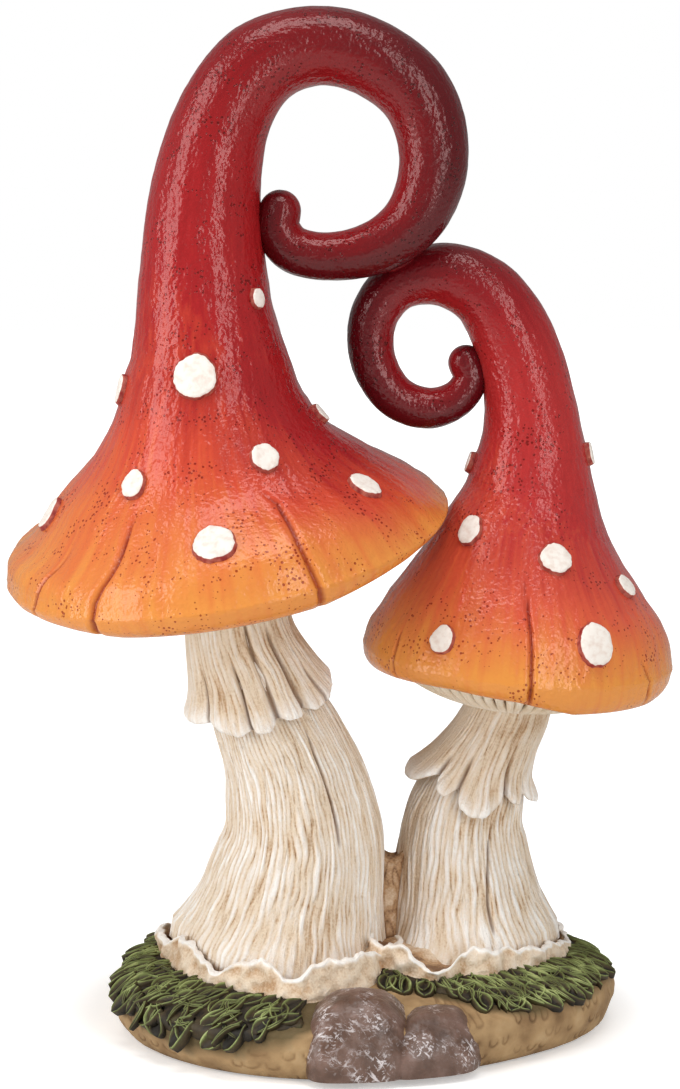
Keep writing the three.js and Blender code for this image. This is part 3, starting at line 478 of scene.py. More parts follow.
largeLacquer = sprayedLacquer("large cap lacquer", lacquer["large"])
smallLacquer = sprayedLacquer("small cap lacquer", lacquer["small"])
spotFinish = dabbedSpotPaint()
stemFinish = dryBrushedStemPaint("dry-brushed stem paint", stemPaint["stem"])
gillFinish = dryBrushedStemPaint("dry-brushed gill paint", stemPaint["gill"])
sandFinish = grittySandPaint()
grassFinish = dryBrushedGrassPaint()
stoneFinish = scratchedStonePaint()
print("finishes: 8 painted materials")

# Mound: an oval with a bulge in front, turned a little
mound = {
    "halfWidth": 86, "halfDepth": 72, "turn": -17, "middle": (11, 0), "bulge": 21, "bulgeBearing": 256,
    "band": 16, "crown": 27, "crownFall": 0.7, "bevel": 8, "sides": 900,
    "scallop": (5.6, 5.6), "scallopDepth": 0.6, "sway": (1.2, 7),
    "lumps": (0.6, 9, 41), "grit": (0.25, 3.4, 42),  # height, size across, seed
}


def swell(bearing):
    facing = np.maximum(0, np.cos(bearing - np.radians(mound["bulgeBearing"])))
    return 1 + mound["bulge"] / mound["halfDepth"] * facing ** 3


def skinHeight(share):
    fall = np.maximum(0, 1 - share * share) ** mound["crownFall"]
    return mound["band"] + (mound["crown"] - mound["band"]) * fall


def onMound(x, y):  # a place's bearing on the mound, and its share of the way out to the edge
    turn = np.radians(-mound["turn"])
    x, y = x - mound["middle"][0], y - mound["middle"][1]
    across = (x * np.cos(turn) - y * np.sin(turn)) / mound["halfWidth"]
    deep = (x * np.sin(turn) + y * np.cos(turn)) / mound["halfDepth"]
    bearing = np.arctan2(deep, across)
    return bearing, np.hypot(across, deep) / swell(bearing)


def moundHeight(x, y):
    return skinHeight(onMound(x, y)[1])


def moundPoint(bearing, share, z, out=0.0):
    wide = share * swell(bearing)
    across = (mound["halfWidth"] * wide + out) * np.cos(bearing)
    deep = (mound["halfDepth"] * wide + out) * np.sin(bearing)
    turn = np.radians(mound["turn"])
    x = across * np.cos(turn) - deep * np.sin(turn) + mound["middle"][0]
    y = across * np.sin(turn) + deep * np.cos(turn) + mound["middle"][1]
    return np.stack([x, y, np.broadcast_to(z, x.shape)], axis=-1)


# Stems and caps: x, y, z and radius of each station
largeStem = {
    "foot": (-19.5, -6.5), "sunk": 6, "sides": 920, "step": 1.5, "cords": 92, "cordDepth": 0.85, "seed": 10,
    "fluteSize": 11, "fluteDepth": 0.8,
    "stations": [
        [0, 0, 0, 36], [3.6, 0, 18, 32], [6.6, 0, 38, 28], [4.3, 0, 55, 25], [0.4, 0, 68, 22.2],
        [-4.4, 1, 79, 20.4], [-9.4, 2, 93, 18.8], [-15.2, 4, 109, 17.7], [-19, 6, 151, 17]],
    "cracks": [[[(38, -62), (44, -62), (56, -62), (67, -62), (80, -56)], 1.4, 0.7]],
}
smallStem = {
    "foot": (46.5, 5), "sunk": 6, "sides": 720, "step": 1.5, "cords": 68, "cordDepth": 0.9, "seed": 20,
    "fluteSize": 9, "fluteDepth": 0.7,
    "stations": [
        [0, 0, 0, 28], [-2, 0, 12, 26.6], [-3.2, 0, 28, 23.5], [-2.6, 0, 41, 20.8], [0.4, 0, 52, 18.2],
        [3.8, 0, 62, 15.2], [8.6, 0, 72, 14.2], [13, 1, 82, 14.2], [15.5, 1, 110, 14]],
    "cracks": [[[(4, -75), (15, -74), (34, -68), (49, -64)], 1.8, 0.8]],
}
stemInsert = 10  # how far a stem's top stands in its cap
largeCap = {
    "lip": 10, "gillDrop": 16, "gillCount": 108, "loopSide": 0, "sides": 640,
    "drop": [  # bearing, drop of the rim
        (-180, 3.8), (-150, 5), (-120, 8), (-65, 8), (-30, 3.6), (0, 2.4), (90, 8.5), (180, 3.8)],
    "stations": [
        [0, 0, 0, 78], [-1.6, -1.6, 9, 71.6], [-4, -3.4, 21, 54.2], [-5.4, -5, 33, 41.4],
        [-6, -6, 48, 32.3], [-5.8, -6.8, 63, 27.5], [-7.8, -6.8, 85, 22.8], [-7, -6.8, 120, 18.7],
        [0.2, -6.8, 147, 16], [12.4, -6.8, 162.8, 14.7], [31.2, -6.8, 168.5, 13.2], [50.4, -6.8, 163.8, 12.9],
        [65.4, -6.8, 150.7, 12.5], [70.2, -6.8, 130, 11.7], [64.5, -6.8, 111.8, 10.6], [53, -6.8, 101.9, 9.4],
        [35.5, -6.8, 97.8, 8.1], [22, -6.8, 100.6, 8], [17.4, -6.8, 107.6, 7.6], [18.2, -6.8, 113.2, 7.2]],
    "cracks": [  # distance up and bearing along each, its depth and its width
        [[(-12, -127), (5, -125), (14, -122), (27, -120)], 1.5, 1.3],
        [[(-3, -149), (13, -144), (19, -143)], 1.0, 1.0],
        [[(-12, -66), (1, -67), (12, -68), (23, -66), (30, -72)], 1.5, 1.3]],
    "rightTrim": [  # distance up, mm let out
        (0, -0.7), (4, -1.4), (8, -2.2), (12, -3.2), (16, -2.4), (20, 0.6), (24, 2.2), (28, 2.9),
        (36, 3.0), (44, 1.8), (52, 1.5), (58, 0.2), (64, -0.9), (72, -1.4), (80, -0.9), (88, 0)],
    "leftTrim": [
        (0, -0.4), (4, 1.6), (8, 2.3), (20, 2.3), (24, 1.8), (28, 0.4), (34, -0.9), (40, -1.6),
        (46, -1.2), (52, -0.3), (57, 0.3), (70, 0.6), (78, 0)],
    # the orange is narrowest on the right, toward the small cap: partly the spray, partly painted shade where
    # the small cap meets the rim
    "orange": [(-180, 24), (-120, 24), (-80, 19), (-40, 9), (0, 7), (60, 16), (180, 24)],  # bearing, width
    "maroonFrom": 95, "maroonBy": 235,
}
smallCap = {
    "lip": 6, "gillDrop": 18, "gillCount": 64, "loopSide": 180, "sides": 512,
    "drop": [
        (-180, 7.6), (-150, 6.6), (-118, 5.2), (-92, 6.6), (-70, 10), (-30, 9.5), (0, 7.6), (90, 8.5),
        (180, 7.6)],
    "stations": [
        [0, 0, 0, 54], [0.8, -0.4, 10, 50.6], [1, -0.5, 20, 44.6], [1.2, -0.5, 32, 36.6],
        [2, -0.5, 44, 29.8], [4, -0.5, 58, 23.2], [4.8, -0.5, 74, 18.2], [4.2, -0.5, 88, 16.2],
        [-1.6, -0.5, 108, 14], [-12, -0.5, 125.8, 12.4], [-27.4, -0.5, 132.2, 10.8], [-42.2, -0.5, 128.6, 9],
        [-50.4, -0.5, 117.4, 8.2], [-50.6, -0.5, 103, 7.9], [-42.8, -0.5, 90.2, 7.5], [-31, -0.5, 86, 7.1],
        [-21.2, -0.5, 89.6, 6.4], [-16.8, -0.5, 96.6, 6], [-18.4, -0.5, 101.8, 6.2]],
    "cracks": [
        [[(-12, -88), (1, -88), (16, -89), (34, -92)], 1.6, 0.95],
        [[(-12, -144), (1, -145), (15, -146)], 0.9, 0.7],
        [[(-12, -34), (1, -37), (11, -43)], 0.9, 0.7],
        [[(18, -8), (26, -14)], 0.8, 0.7]],
    "rightTrim": [
        (0, 0.4), (6, 1.3), (10, 0.8), (14, -0.3), (24, -0.5), (40, -0.4), (45, 0.1), (50, 0.6),
        (57, 0), (76, 0), (82, -0.8), (88, -1.4), (96, -0.6), (104, 0), (112, 0.9), (117, 0.7),
        (124, 0)],
    "leftTrim": [
        (0, 0), (8, 0.5), (14, 1.3), (24, 1.8), (28, 1.1), (34, 0.2), (46, -0.8), (52, -1.6), (60, -0.9),
        (66, 0)],
    "orange": [(-180, 18), (-140, 20), (-90, 14), (-30, 11), (20, 10), (90, 14), (180, 18)],
    "maroonFrom": 80, "maroonBy": 175,
}
capShape = {
    "hollow": 3, "step": 1.0, "slimStep": 1.15, "wide": 44, "slim": 20, "widestRoll": 30,
    "lumps": (0.55, 26, 1), "dents": (0.2, 9, 2), "pebbles": (0.08, 2.6, 4),  # height, size across, seed
    "strokes": (0.2, [3.2, 3.2, 30], 3), "thinBelow": 22,
    "fade": [(0, 0.0), (0.7, 0.09), (1.3, 0.22), (2.2, 0.33), (4.5, 0.45)],  # widths of orange up, glaze
    # innerGlazeAndLight brightens the curl's inner side: partly the spray, partly painted light and shade
    "curlGlaze": 0.58, "innerGlazeAndLight": 0.42,
}

for stem in (largeStem, smallStem):
    stem["spine"] = growSpine(stem["stations"], [*stem["foot"], mound["crown"]])
for cap, stem in ((largeCap, largeStem), (smallCap, smallStem)):
    cap["spine"] = growSpine(cap["stations"], stem["spine"]["line"][-1] - [0, 0, stemInsert])

# The frame puts the middle of the whole box over the origin, and the large stem's foot shows how far
# that moved it
low, high = (np.array(corner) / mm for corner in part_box("large_stem"))
footRight = frameAt(largeStem["spine"], 0.0)[2][0]
shift = np.array([
    high[0] - (largeStem["foot"][0] + largeStem["stations"][0][3] * footRight),
    (low[1] + high[1]) / 2 - largeStem["foot"][1],
    0.0])
print("moved by", shift.round(3).tolist(), "mm")


# Every crack fades in above its start and out below its end, narrows on the way and has a low lip
crack = {"fadeIn": (-1, 3), "fadeOut": 9, "narrowing": 0.6, "lipAt": 2.2, "lipHeight": 0.12}


def carve(bearing, distance, radius, cracks):  # depth in mm of the cracks, and a mark of 1 in them
    depth = np.zeros(len(distance))
    mark = np.zeros(len(distance))
    for trail, deep, width in cracks:
        up, degrees = zip(*trail)
        turn = np.interp(distance, up, np.radians(degrees))
        off = np.abs(wrapped(bearing - turn)) * radius
        low, high = crack["fadeIn"]
        fade = smoothStep(distance, up[0] + low, up[0] + high)
        fade = fade * (1 - smoothStep(distance, up[-1] - crack["fadeOut"], up[-1]))
        narrowing = crack["narrowing"] * np.clip((distance - up[0]) / (up[-1] - up[0]), 0, 1)
        groove = fade * np.exp(-(off / (width * (1 - narrowing))) ** 2)
        lip = fade * np.exp(-((off - crack["lipAt"] * width) / width) ** 2)
        depth += deep * groove - crack["lipHeight"] * deep * lip
        mark += groove
    return depth, mark


def trimOf(cap, bearing, distance):  # how far the bell's right and left sides are let out, in mm
    total = 0
    for way, rows in ((1, cap["rightTrim"]), (-1, cap["leftTrim"])):
        soft = sum(np.interp(distance + step, *zip(*rows)) for step in (-3, -1, 1, 3)) / 4
        total = total + soft * np.maximum(0, way * np.cos(bearing)) ** 2
    return total


def capSurface(cap, bearing, distance):  # points of a cap's skin, the way it faces, and its cracks
    at, along, right, back, radius = framesAt(cap["spine"], distance)
    below, above = (framesAt(cap["spine"], distance + step)[4] for step in (-0.5, 0.5))
    slope = np.where(distance < 1, -0.3, above - below)
    radial = spokes(right, back, bearing)
    facing = unit(radial - along * slope[:, None])
    points = at + radial * radius[:, None]
    depth, mark = carve(bearing, distance, radius, cap["cracks"])
    thin = np.clip(radius / capShape["thinBelow"], 0.3, 1)
    raised = relief(points, *capShape["lumps"]) + relief(points, *capShape["dents"])
    raised += relief(grainOf(bearing, distance, radius), *capShape["strokes"])
    raised = thin * raised + relief(points, *capShape["pebbles"]) + trimOf(cap, bearing, distance)
    return points + facing * (raised - depth)[:, None], facing, mark


def grainOf(bearing, distance, radius):  # a place on a plain roll, along which brush lines run
    roll = np.minimum(radius, capShape["widestRoll"])
    return np.stack([roll * np.cos(bearing), roll * np.sin(bearing), distance], axis=1)


def glazeOf(cap, bearing, distance):  # 0 is the rim's orange, 1 the curl's maroon
    width = byBearing(cap["orange"], bearing, 1)
    low = np.interp(distance / width, *zip(*capShape["fade"]))
    high = smoothStep(distance, cap["maroonFrom"], cap["maroonBy"])
    # the curl's side toward its loop is kept a brighter red than its outer side: partly the spray, partly
    # painted light and shade for how the loop is lit
    inner = 0.5 + 0.5 * np.cos(bearing - np.radians(cap["loopSide"]))
    return low + high * (capShape["curlGlaze"] - capShape["innerGlazeAndLight"] * inner ** 2)


def capRows(cap):  # distances up a cap's skin, each with a number of sides that falls as it gets slim
    spine, rows, distance = cap["spine"], [], 0.0
    while distance < spine["run"][-1]:
        radius = frameAt(spine, distance)[4]
        halvings = int(radius <= capShape["wide"]) + int(radius <= capShape["slim"])
        rows.append((distance, cap["sides"] // 2 ** halvings))
        distance += capShape["step"] * (capShape["slimStep"] if halvings == 2 else 1)
    return rows + [(spine["run"][-1], rows[-1][1])]


def rolledRim(cap, firstRing):  # rings from the hollow out to the skin's first, their cracks and grain
    sides, lip = cap["sides"], cap["lip"]
    at, along, right, back, radius = frameAt(cap["spine"], 0.0)
    inner = radius - lip
    profile = throughStations([
        [inner, capShape["hollow"]], [inner, -0.3], [inner + 0.06 * lip, -0.8], [inner + 0.4 * lip, -1],
        [inner + 0.85 * lip, -0.62], [radius, 0]], np.linspace(0, 1, 18)[:-1], False)
    turn = wrapped(roundTurn(sides))
    radial = spokes(right, back, turn)
    uneven = firstRing - (at + radial * radius)  # the skin's own relief runs on round the rim
    drop = byBearing(cap["drop"], turn, 1)
    rings, marks = [], []
    for reach, ahead in profile:
        ahead = ahead * drop if ahead < 0 else np.full(sides, ahead)
        depth, line = carve(turn, np.minimum(0.0, ahead), np.full(sides, reach), cap["cracks"])
        share = smoothStep(reach, inner, radius)
        ring = at + radial * (reach - depth * share)[:, None] + np.outer(ahead, along)
        rings.append(ring + uneven * share * 0.7)
        marks.append(line * share)
    grain = grainOf(np.tile(turn, len(rings)), np.repeat(profile[:, 1] * 8 - 2, sides), radius)
    return rings, marks, grain


def shapeCap(name, cap, material, node):
    spine, rows = cap["spine"], capRows(cap)
    counts = [count for _, count in rows]
    bearing = wrapped(np.concatenate([roundTurn(count) for count in counts]))
    up = np.concatenate([np.full(count, distance) for distance, count in rows])
    skin, _, mark = capSurface(cap, bearing, up)
    glaze = glazeOf(cap, bearing, up)
    grain = grainOf(bearing, up, framesAt(spine, up)[4])
    first, last = counts[0], counts[-1]
    rim, rimMarks, rimGrain = rolledRim(cap, skin[:first])
    tipAt, tipAlong, _, _, tipRadius = frameAt(spine, spine["run"][-1])
    tip = [tipAt + (skin[-last:] - tipAt) * np.cos(lean) + tipRadius * tipAlong * np.sin(lean)
           for lean in np.radians(np.arange(10, 90, 10))]  # the curl's rounded end
    points = withPoles([*rim, *np.split(skin, np.cumsum(counts)[:-1]), *tip])
    faces = tubeFaces([first] * len(rim) + counts + [last] * len(tip))
    mesh = toMesh(name, points, faces, material, {
        "glaze": np.concatenate([
            np.repeat(np.linspace(0.1, 0.0, len(rim)), first), glaze,
            np.tile(glaze[-last:], len(tip)), [0.1, glaze[-1]]]),
        "cut": np.concatenate([*rimMarks, mark, np.zeros(last * len(tip) + 2)]),
        "grain": np.vstack([rimGrain, grain, np.tile(grain[-last:], (len(tip), 1)), grain[-1], grain[-1]])})
    return setDown(name, mesh, [node])


shapeCap("largeCapSkin", largeCap, largeLacquer, "large_cap")
shapeCap("smallCapSkin", smallCap, smallLacquer, "small_cap")
print("caps: bells, necks and curls")

# Spots: distance up the cap, bearing, width and height
spots = {
    "rise": 2.0, "root": 1.6, "ragged": 0.09, "bumps": (0.07, 2.6), "sides": 72,
    "profile": [  # share of the way out, share of the rise
        (0.3, 1.0), (0.6, 1.0), (0.78, 0.97), (0.87, 0.9), (0.92, 0.7), (0.96, 0.35), (1.0, -0.1),
        (1.02, -0.8)],
    "large": [
        [16, -91, 15, 15], [31, -125, 9, 9], [35, -63, 10, 10], [18, -33, 10, 14], [61, -98, 15, 15],
        [84, -39, 6, 9], [20, -172, 10, 11], [54, -166, 8, 10], [43, -4, 8, 9], [26, 44, 13, 13],
        [14, 74, 15, 14], [40, 92, 12, 12], [18, 118, 11, 12], [76, 92, 12, 13], [104, 60, 7, 9]],
    "small": [
        [12, -63, 13, 13], [11, -124, 9, 11], [44, -131, 9, 10], [38, -74, 12, 12], [27, -31, 8, 10],
        [71, -10, 6, 8], [66, 178, 6, 9], [18, 40, 11, 12], [30, 84, 12, 12], [12, 122, 10, 10],
        [56, 100, 8, 10]],
}


def shapeSpot(name, cap, size, seed, node):
    up, degrees, width, height = size
    radius, beyond = framesAt(cap["spine"], np.array([up, up + 1.0]))[4]
    lean = np.hypot(1, beyond - radius)
    turn = roundTurn(spots["sides"])
    circle = np.stack([np.cos(turn) * 3, np.sin(turn) * 3, np.full(len(turn), seed * 7.0)], axis=1)
    outline = 1 + spots["ragged"] * (softNoise(circle, 1.9, 5) + 0.6 * softNoise(circle, 0.7, 6))
    rings, white = [], []
    for share, lift in spots["profile"]:
        across = width / 2 * share * outline * np.cos(turn)
        tall = height / 2 * share * outline * np.sin(turn)
        bearing = np.radians(degrees) + across / radius
        skin, facing, _ = capSurface(cap, bearing, np.maximum(0.2, up + tall / lean))
        rise = spots["rise"] * lift if lift > 0 else spots["root"] * lift
        bumps = relief(skin, *spots["bumps"], seed) if lift > 0.5 else 0
        rings.append(skin + facing * (rise + bumps + np.zeros(len(turn)))[:, None])
        white.append(np.full(len(turn), smoothStep(lift, 0.6, 0.96)))
    points = withPoles(rings)
    mesh = toMesh(name, points, tubeFaces([len(turn)] * len(rings)), spotFinish,
                  {"white": np.concatenate([*white, [1.0, 0.0]])})
    mesh.flip_normals()  # the rings run down from the top
    return setDown(name, mesh, [node])


for cap, kind in ((largeCap, "large"), (smallCap, "small")):
    for i, size in enumerate(spots[kind], 1):
        shapeSpot(f"{kind}CapSpot{i}", cap, size, i + len(kind) * 20, f"{kind}_spot_{i}")
print("spots:", len(spots["large"]) + len(spots["small"]))


# Frills: a cupped collar round each foot; each row gives the bearing, how far its wall and its rim
# lie outside the stem's foot, and the rim's height over the mound
largeFrill = {
    "stem": largeStem, "sides": 640, "thickness": 2.3, "climb": 22, "flare": 0.62,
    "rim": [
        (-180, 8, 9.5, 8), (-168, 6.5, 7, 7), (-158, 6.5, 4.5, 10), (-149, 7.5, 4.5, 11.5),
        (-139, 9, 6, 9), (-129, 10, 7.5, 6), (-119, 12, 10, 4), (-112, 13, 10.5, 6.5),
        (-105, 15, 11.5, 9.5), (-99, 17.5, 13.5, 10.5), (-93, 20.5, 17, 9), (-87, 23.5, 22, 5),
        (-80, 25.5, 21.5, 10.5), (-73, 22.5, 18, 11.5), (-66, 21.5, 17.5, 9.3), (-58, 20.5, 16.5, 9.7),
        (-50, 15.5, 13, 8), (-38, 8, 7, 5), (-22, 7, 6, 3), (-5, 7, 6, 3), (12, 8, 7, 4),
        (30, 10, 8, 9), (48, 9, 8, 5), (66, 12, 9, 10), (84, 10, 9, 6), (102, 12, 9, 9),
        (120, 10, 8, 6), (138, 12, 10, 9), (152, 9, 9, 5), (166, 9, 9, 9), (180, 8, 9.5, 8)],
}
smallFrill = {
    "stem": smallStem, "sides": 600, "thickness": 2.2, "climb": 20, "flare": 0.6,
    "rim": [
        (-180, 8, 7, 3), (-162, 10, 9, 4), (-148, 17, 15, 6), (-136, 25, 23, 8), (-126, 28.5, 27, 8),
        (-118, 28.5, 26.5, 10), (-112, 29, 28, 6), (-105, 29.5, 29, 2.5), (-99, 23, 22, 5),
        (-93, 19, 16, 9), (-87, 20, 16.5, 8.5), (-80, 17, 14.5, 7.5), (-74, 13.5, 11, 8),
        (-64, 11.6, 9.5, 6.5), (-54, 10.8, 8.5, 6.3), (-44, 9.2, 7, 6), (-30, 8, 6.5, 5),
        (-14, 7.2, 6.5, 4), (2, 7, 7, 4), (20, 8, 7, 6), (38, 9, 8, 4), (56, 8, 7, 7), (74, 9, 8, 4),
        (92, 8, 7, 7), (110, 9, 8, 4), (128, 8, 7, 7), (146, 9, 8, 4), (164, 8, 7, 4), (180, 8, 7, 3)],
}


# What both frills share, and how far bearings are blurred in their tables
ruffle = {
    "rows": 79, "blur": 17, "footBlur": 31,
    "out": (1.6, 5.5, 21), "up": (1.6, 5, 25), "nips": (0.6, 2.6, 22), "thick": (0.25, 4, 23),
    "folds": (1.3, 4.6, 24), "nicks": (0.5, 1.9, 26),  # height, size across, seed
}

# Carving of the stems and skirts: cords that wander side by side, flutes, and splits across them
comb = {
    "wander": (1.1, [20, 20, 34]), "shiver": (0.55, [5, 5, 12]),  # in cords, and size across
    "cordLength": 16, "roundness": 0.6,
    "roll": 24, "fluteLength": 70, "splitSize": [6, 6, 34],
}


def combed(turn, distance, points, count, seed):  # cords: 0 between them, up to 1 on their backs
    place = turn / (2 * np.pi) * count + relief(points, *comb["wander"], seed)
    place = place + relief(points, *comb["shiver"], seed + 1)
    number = np.floor(place) % count
    along = np.column_stack([number * 3.7, distance / comb["cordLength"], number * 1.9])
    height = 0.6 + 0.7 * softNoise(along, 1, seed + 2)
    return np.clip(height, 0.12, 1) * np.abs(np.sin(np.pi * place)) ** comb["roundness"]


def stemPattern(stem, bearing, distance, points):  # how far the carving stands out, and its ridges
    cords = combed(bearing, distance, points, stem["cords"], stem["seed"])
    roll = fibresAt(bearing, distance)
    flute = softNoise(roll, [stem["fluteSize"], stem["fluteSize"], comb["fluteLength"]], 12)
    split = (1 - creases(roll, comb["splitSize"], 13)) ** 8
    ridge = 0.24 + 0.62 * cords + 0.06 * flute - 0.2 * split
    raised = stem["cordDepth"] * (cords - 0.5 - 0.8 * split) + stem["fluteDepth"] * flute
    return raised, ridge


def fibresAt(turn, distance):  # a place on a plain roll of one width, for carving and the paint's fibres
    return grainOf(turn, distance, comb["roll"])


def shapeStem(name, stem, frill, skirt, node):
    spine, sides = stem["spine"], stem["sides"]
    length, sunk = spine["run"][-1], stem["sunk"]
    rows = np.concatenate([[-sunk, -sunk / 2], np.arange(0, length, stem["step"]), [length]])
    turn = wrapped(roundTurn(sides))
    bearing = np.tile(turn, len(rows))
    up = np.repeat(rows, sides)
    at, along, right, back, radius = framesAt(spine, np.maximum(0, up))
    radial = spokes(right, back, bearing)
    rim = byBearing(frill["rim"], turn, 2, ruffle["footBlur"])
    foot = np.tile(frill["flare"] * (rim - frill["thickness"]), len(rows))
    flared = foot * np.clip(1 - up / frill["climb"], 0, 1) ** 2.6
    drawnIn = skirt["drawnIn"] * smoothStep(up, skirt["under"], skirt["under"] + 8)
    wide = radius + np.minimum(flared, foot) - drawnIn
    points = at + radial * wide[:, None] + along * np.minimum(0, up)[:, None]
    raised, ridge = stemPattern(stem, bearing, up, points)
    depth, mark = carve(bearing, up, radius, stem["cracks"])
    points = points + radial * (raised - depth)[:, None]
    faces = tubeFaces([sides] * len(rows))
    mesh = toMesh(name, withPoles(np.split(points, len(rows))), faces, stemFinish, {
        "ridge": np.concatenate([ridge, [0.5, 0.5]]), "cut": np.concatenate([mark, [0, 0]]),
        "grain": np.vstack([fibresAt(bearing, up), np.zeros((2, 3))])})
    return setDown(name, mesh, [node])


# Skirts: each row of their lower edges gives the bearing, the height over the mound's top and how far
# it stands off the stem; slots give the bearing, where they start on the way down, depth and width
largeSkirt = {
    "stem": largeStem, "top": 122, "thickness": 3.2, "sides": 640, "rows": 60,
    "cords": 56, "seed": 30, "pleatDepth": 0.6, "under": 96, "drawnIn": 1.6,
    "flare": 3.2, "calmAt": -178, "calmWidth": 24, "blur": 13,
    "edge": [
        (-180, 81, 7.2), (-166, 79.5, 8), (-152, 79, 7.2), (-142, 80, 4.5), (-130, 78, 5.5),
        (-114, 76.5, 5.2), (-104, 79, 3), (-98, 78, 4.8), (-88, 79, 5), (-80, 83.5, 2.8),
        (-72, 82.5, 4.8), (-62, 83.5, 5.2), (-56, 86.5, 3), (-48, 85, 5), (-34, 88, 6), (-20, 92, 6),
        (-4, 95, 5.2), (12, 93, 4.5), (30, 89, 6), (50, 92, 4), (70, 87, 6), (92, 90, 3.5),
        (114, 84, 6.5), (134, 88, 4), (150, 82, 6), (165, 84, 5), (180, 81, 7.2)],
    "slots": [
        (-142, 0.45, 1.2, 0.8), (-104, 0.35, 1.9, 0.9), (-80, 0.03, 2.2, 1.4), (-56, 0.12, 1.9, 1.1),
        (-36, 0.5, 0.6, 0.8), (12, 0.4, 1.0, 1.0), (50, 0.3, 1.3, 1.2), (92, 0.2, 1.6, 1.5),
        (134, 0.3, 1.4, 1.2)],
}
smallSkirt = {
    "stem": smallStem, "top": 84, "thickness": 3.0, "sides": 560, "rows": 56,
    "cords": 44, "seed": 36, "pleatDepth": 0.8, "under": 66, "drawnIn": 1.4,
    "flare": 3.2, "calmAt": -168, "calmWidth": 24, "blur": 13,
    "edge": [
        (-180, 61, 6), (-168, 58, 6.5), (-152, 57, 6.5), (-140, 59, 5.5), (-134, 60, 3),
        (-127, 55.5, 4.8), (-118, 53, 5.5), (-109, 56, 2.8), (-103, 50.5, 5), (-92, 47, 6),
        (-80, 46.5, 6.5), (-69, 50, 4.5), (-62, 54, 2.6), (-56, 50.5, 4.5), (-46, 49, 5),
        (-36, 53.5, 2.6), (-28, 49.5, 4.5), (-12, 48, 5.5), (4, 49, 5.5), (18, 53, 3.5), (36, 48, 6),
        (56, 50, 5), (75, 54, 3), (95, 49, 6), (118, 52, 5.5), (138, 57, 3.5), (156, 57, 6),
        (180, 61, 6)],
    "slots": [
        (-134, 0.6, 1.4, 0.9), (-109, 0.5, 1.7, 1.0), (-62, 0.45, 1.6, 0.9), (-36, 0.7, 1.0, 0.8),
        (18, 0.5, 1.2, 1.0), (75, 0.4, 1.5, 1.2), (138, 0.4, 1.4, 1.2)],
}


def shapeSkirt(name, skirt, node):
    stem, sides, rows = skirt["stem"], skirt["sides"], skirt["rows"]
    spine = stem["spine"]
    turn = wrapped(roundTurn(sides))
    hang, stand = (byBearing(skirt["edge"], turn, column, skirt["blur"]) for column in (1, 2))
    calm = sum(np.exp(-((np.degrees(turn) - full - skirt["calmAt"]) / skirt["calmWidth"]) ** 2)
               for full in (0, 360))  # where the pleats fade out
    outer, inner, tones, cuts, grains = [], [], [], [], []
    for down in np.linspace(0, 1, rows):
        height = skirt["top"] + (hang - skirt["top"]) * down
        out = stand * down ** skirt["flare"] - 0.3
        level = height
        for _ in range(4):  # the stem leans, so a point beside it lies above or below its middle
            up = distanceAtHeight(spine, level + mound["crown"])
            at, _, right, back, radius = framesAt(spine, up)
            radial = spokes(right, back, turn)
            level = height - radial[:, 2] * (radius + out)
        cords = combed(turn, height, fibresAt(turn, height), skirt["cords"], skirt["seed"])
        cords = cords + (0.6 - cords) * np.minimum(1, calm)
        reach = radius + out
        sunk, mark = np.zeros(sides), np.zeros(sides)
        for degrees, start, deep, width in skirt["slots"]:
            off = np.abs(wrapped(turn - np.radians(degrees))) * reach
            narrow = width * (0.4 + 0.6 * down)
            groove = smoothStep(down, start, start + 0.3) * np.exp(-(off / narrow) ** 2)
            sunk += deep * groove
            mark += groove
        raised = skirt["pleatDepth"] * smoothStep(down, 0, 0.25) * (cords - 0.5)
        thick = skirt["thickness"] / 2 * (0.6 + 0.4 * down) * (1 + 0.9 * calm * down)
        thick = thick * np.sqrt(1 - 0.9 * smoothStep(down, 0.92, 1.0) ** 2)
        middle = at + radial * (reach + raised - sunk)[:, None]
        outer.append(middle + radial * thick[:, None])
        inner.insert(0, middle - radial * thick[:, None])
        tones.append(0.24 + 0.4 * cords + 0.3 * smoothStep(down, 0.8, 1))
        cuts.append(mark)
        grains.append(fibresAt(turn, height))
    points = np.vstack(outer + inner)
    mesh = toMesh(name, points, loopFaces(2 * rows, sides), stemFinish, {
        "ridge": np.concatenate([*tones, *[tone * 0.3 for tone in tones[::-1]]]),
        "cut": np.concatenate([*cuts, *cuts[::-1]]), "grain": np.vstack(grains + grains[::-1])})
    mesh.flip_normals()  # the rows run down
    return setDown(name, mesh, [node])


shapeSkirt("largeSkirtPleats", largeSkirt, "large_skirt")
shapeSkirt("smallSkirtPleats", smallSkirt, "small_skirt")
print("skirts: pleated")
shapeStem("largeStemCarving", largeStem, largeFrill, largeSkirt, "large_stem")
shapeStem("smallStemCarving", smallStem, smallFrill, smallSkirt, "small_stem")
print("stems: carved")


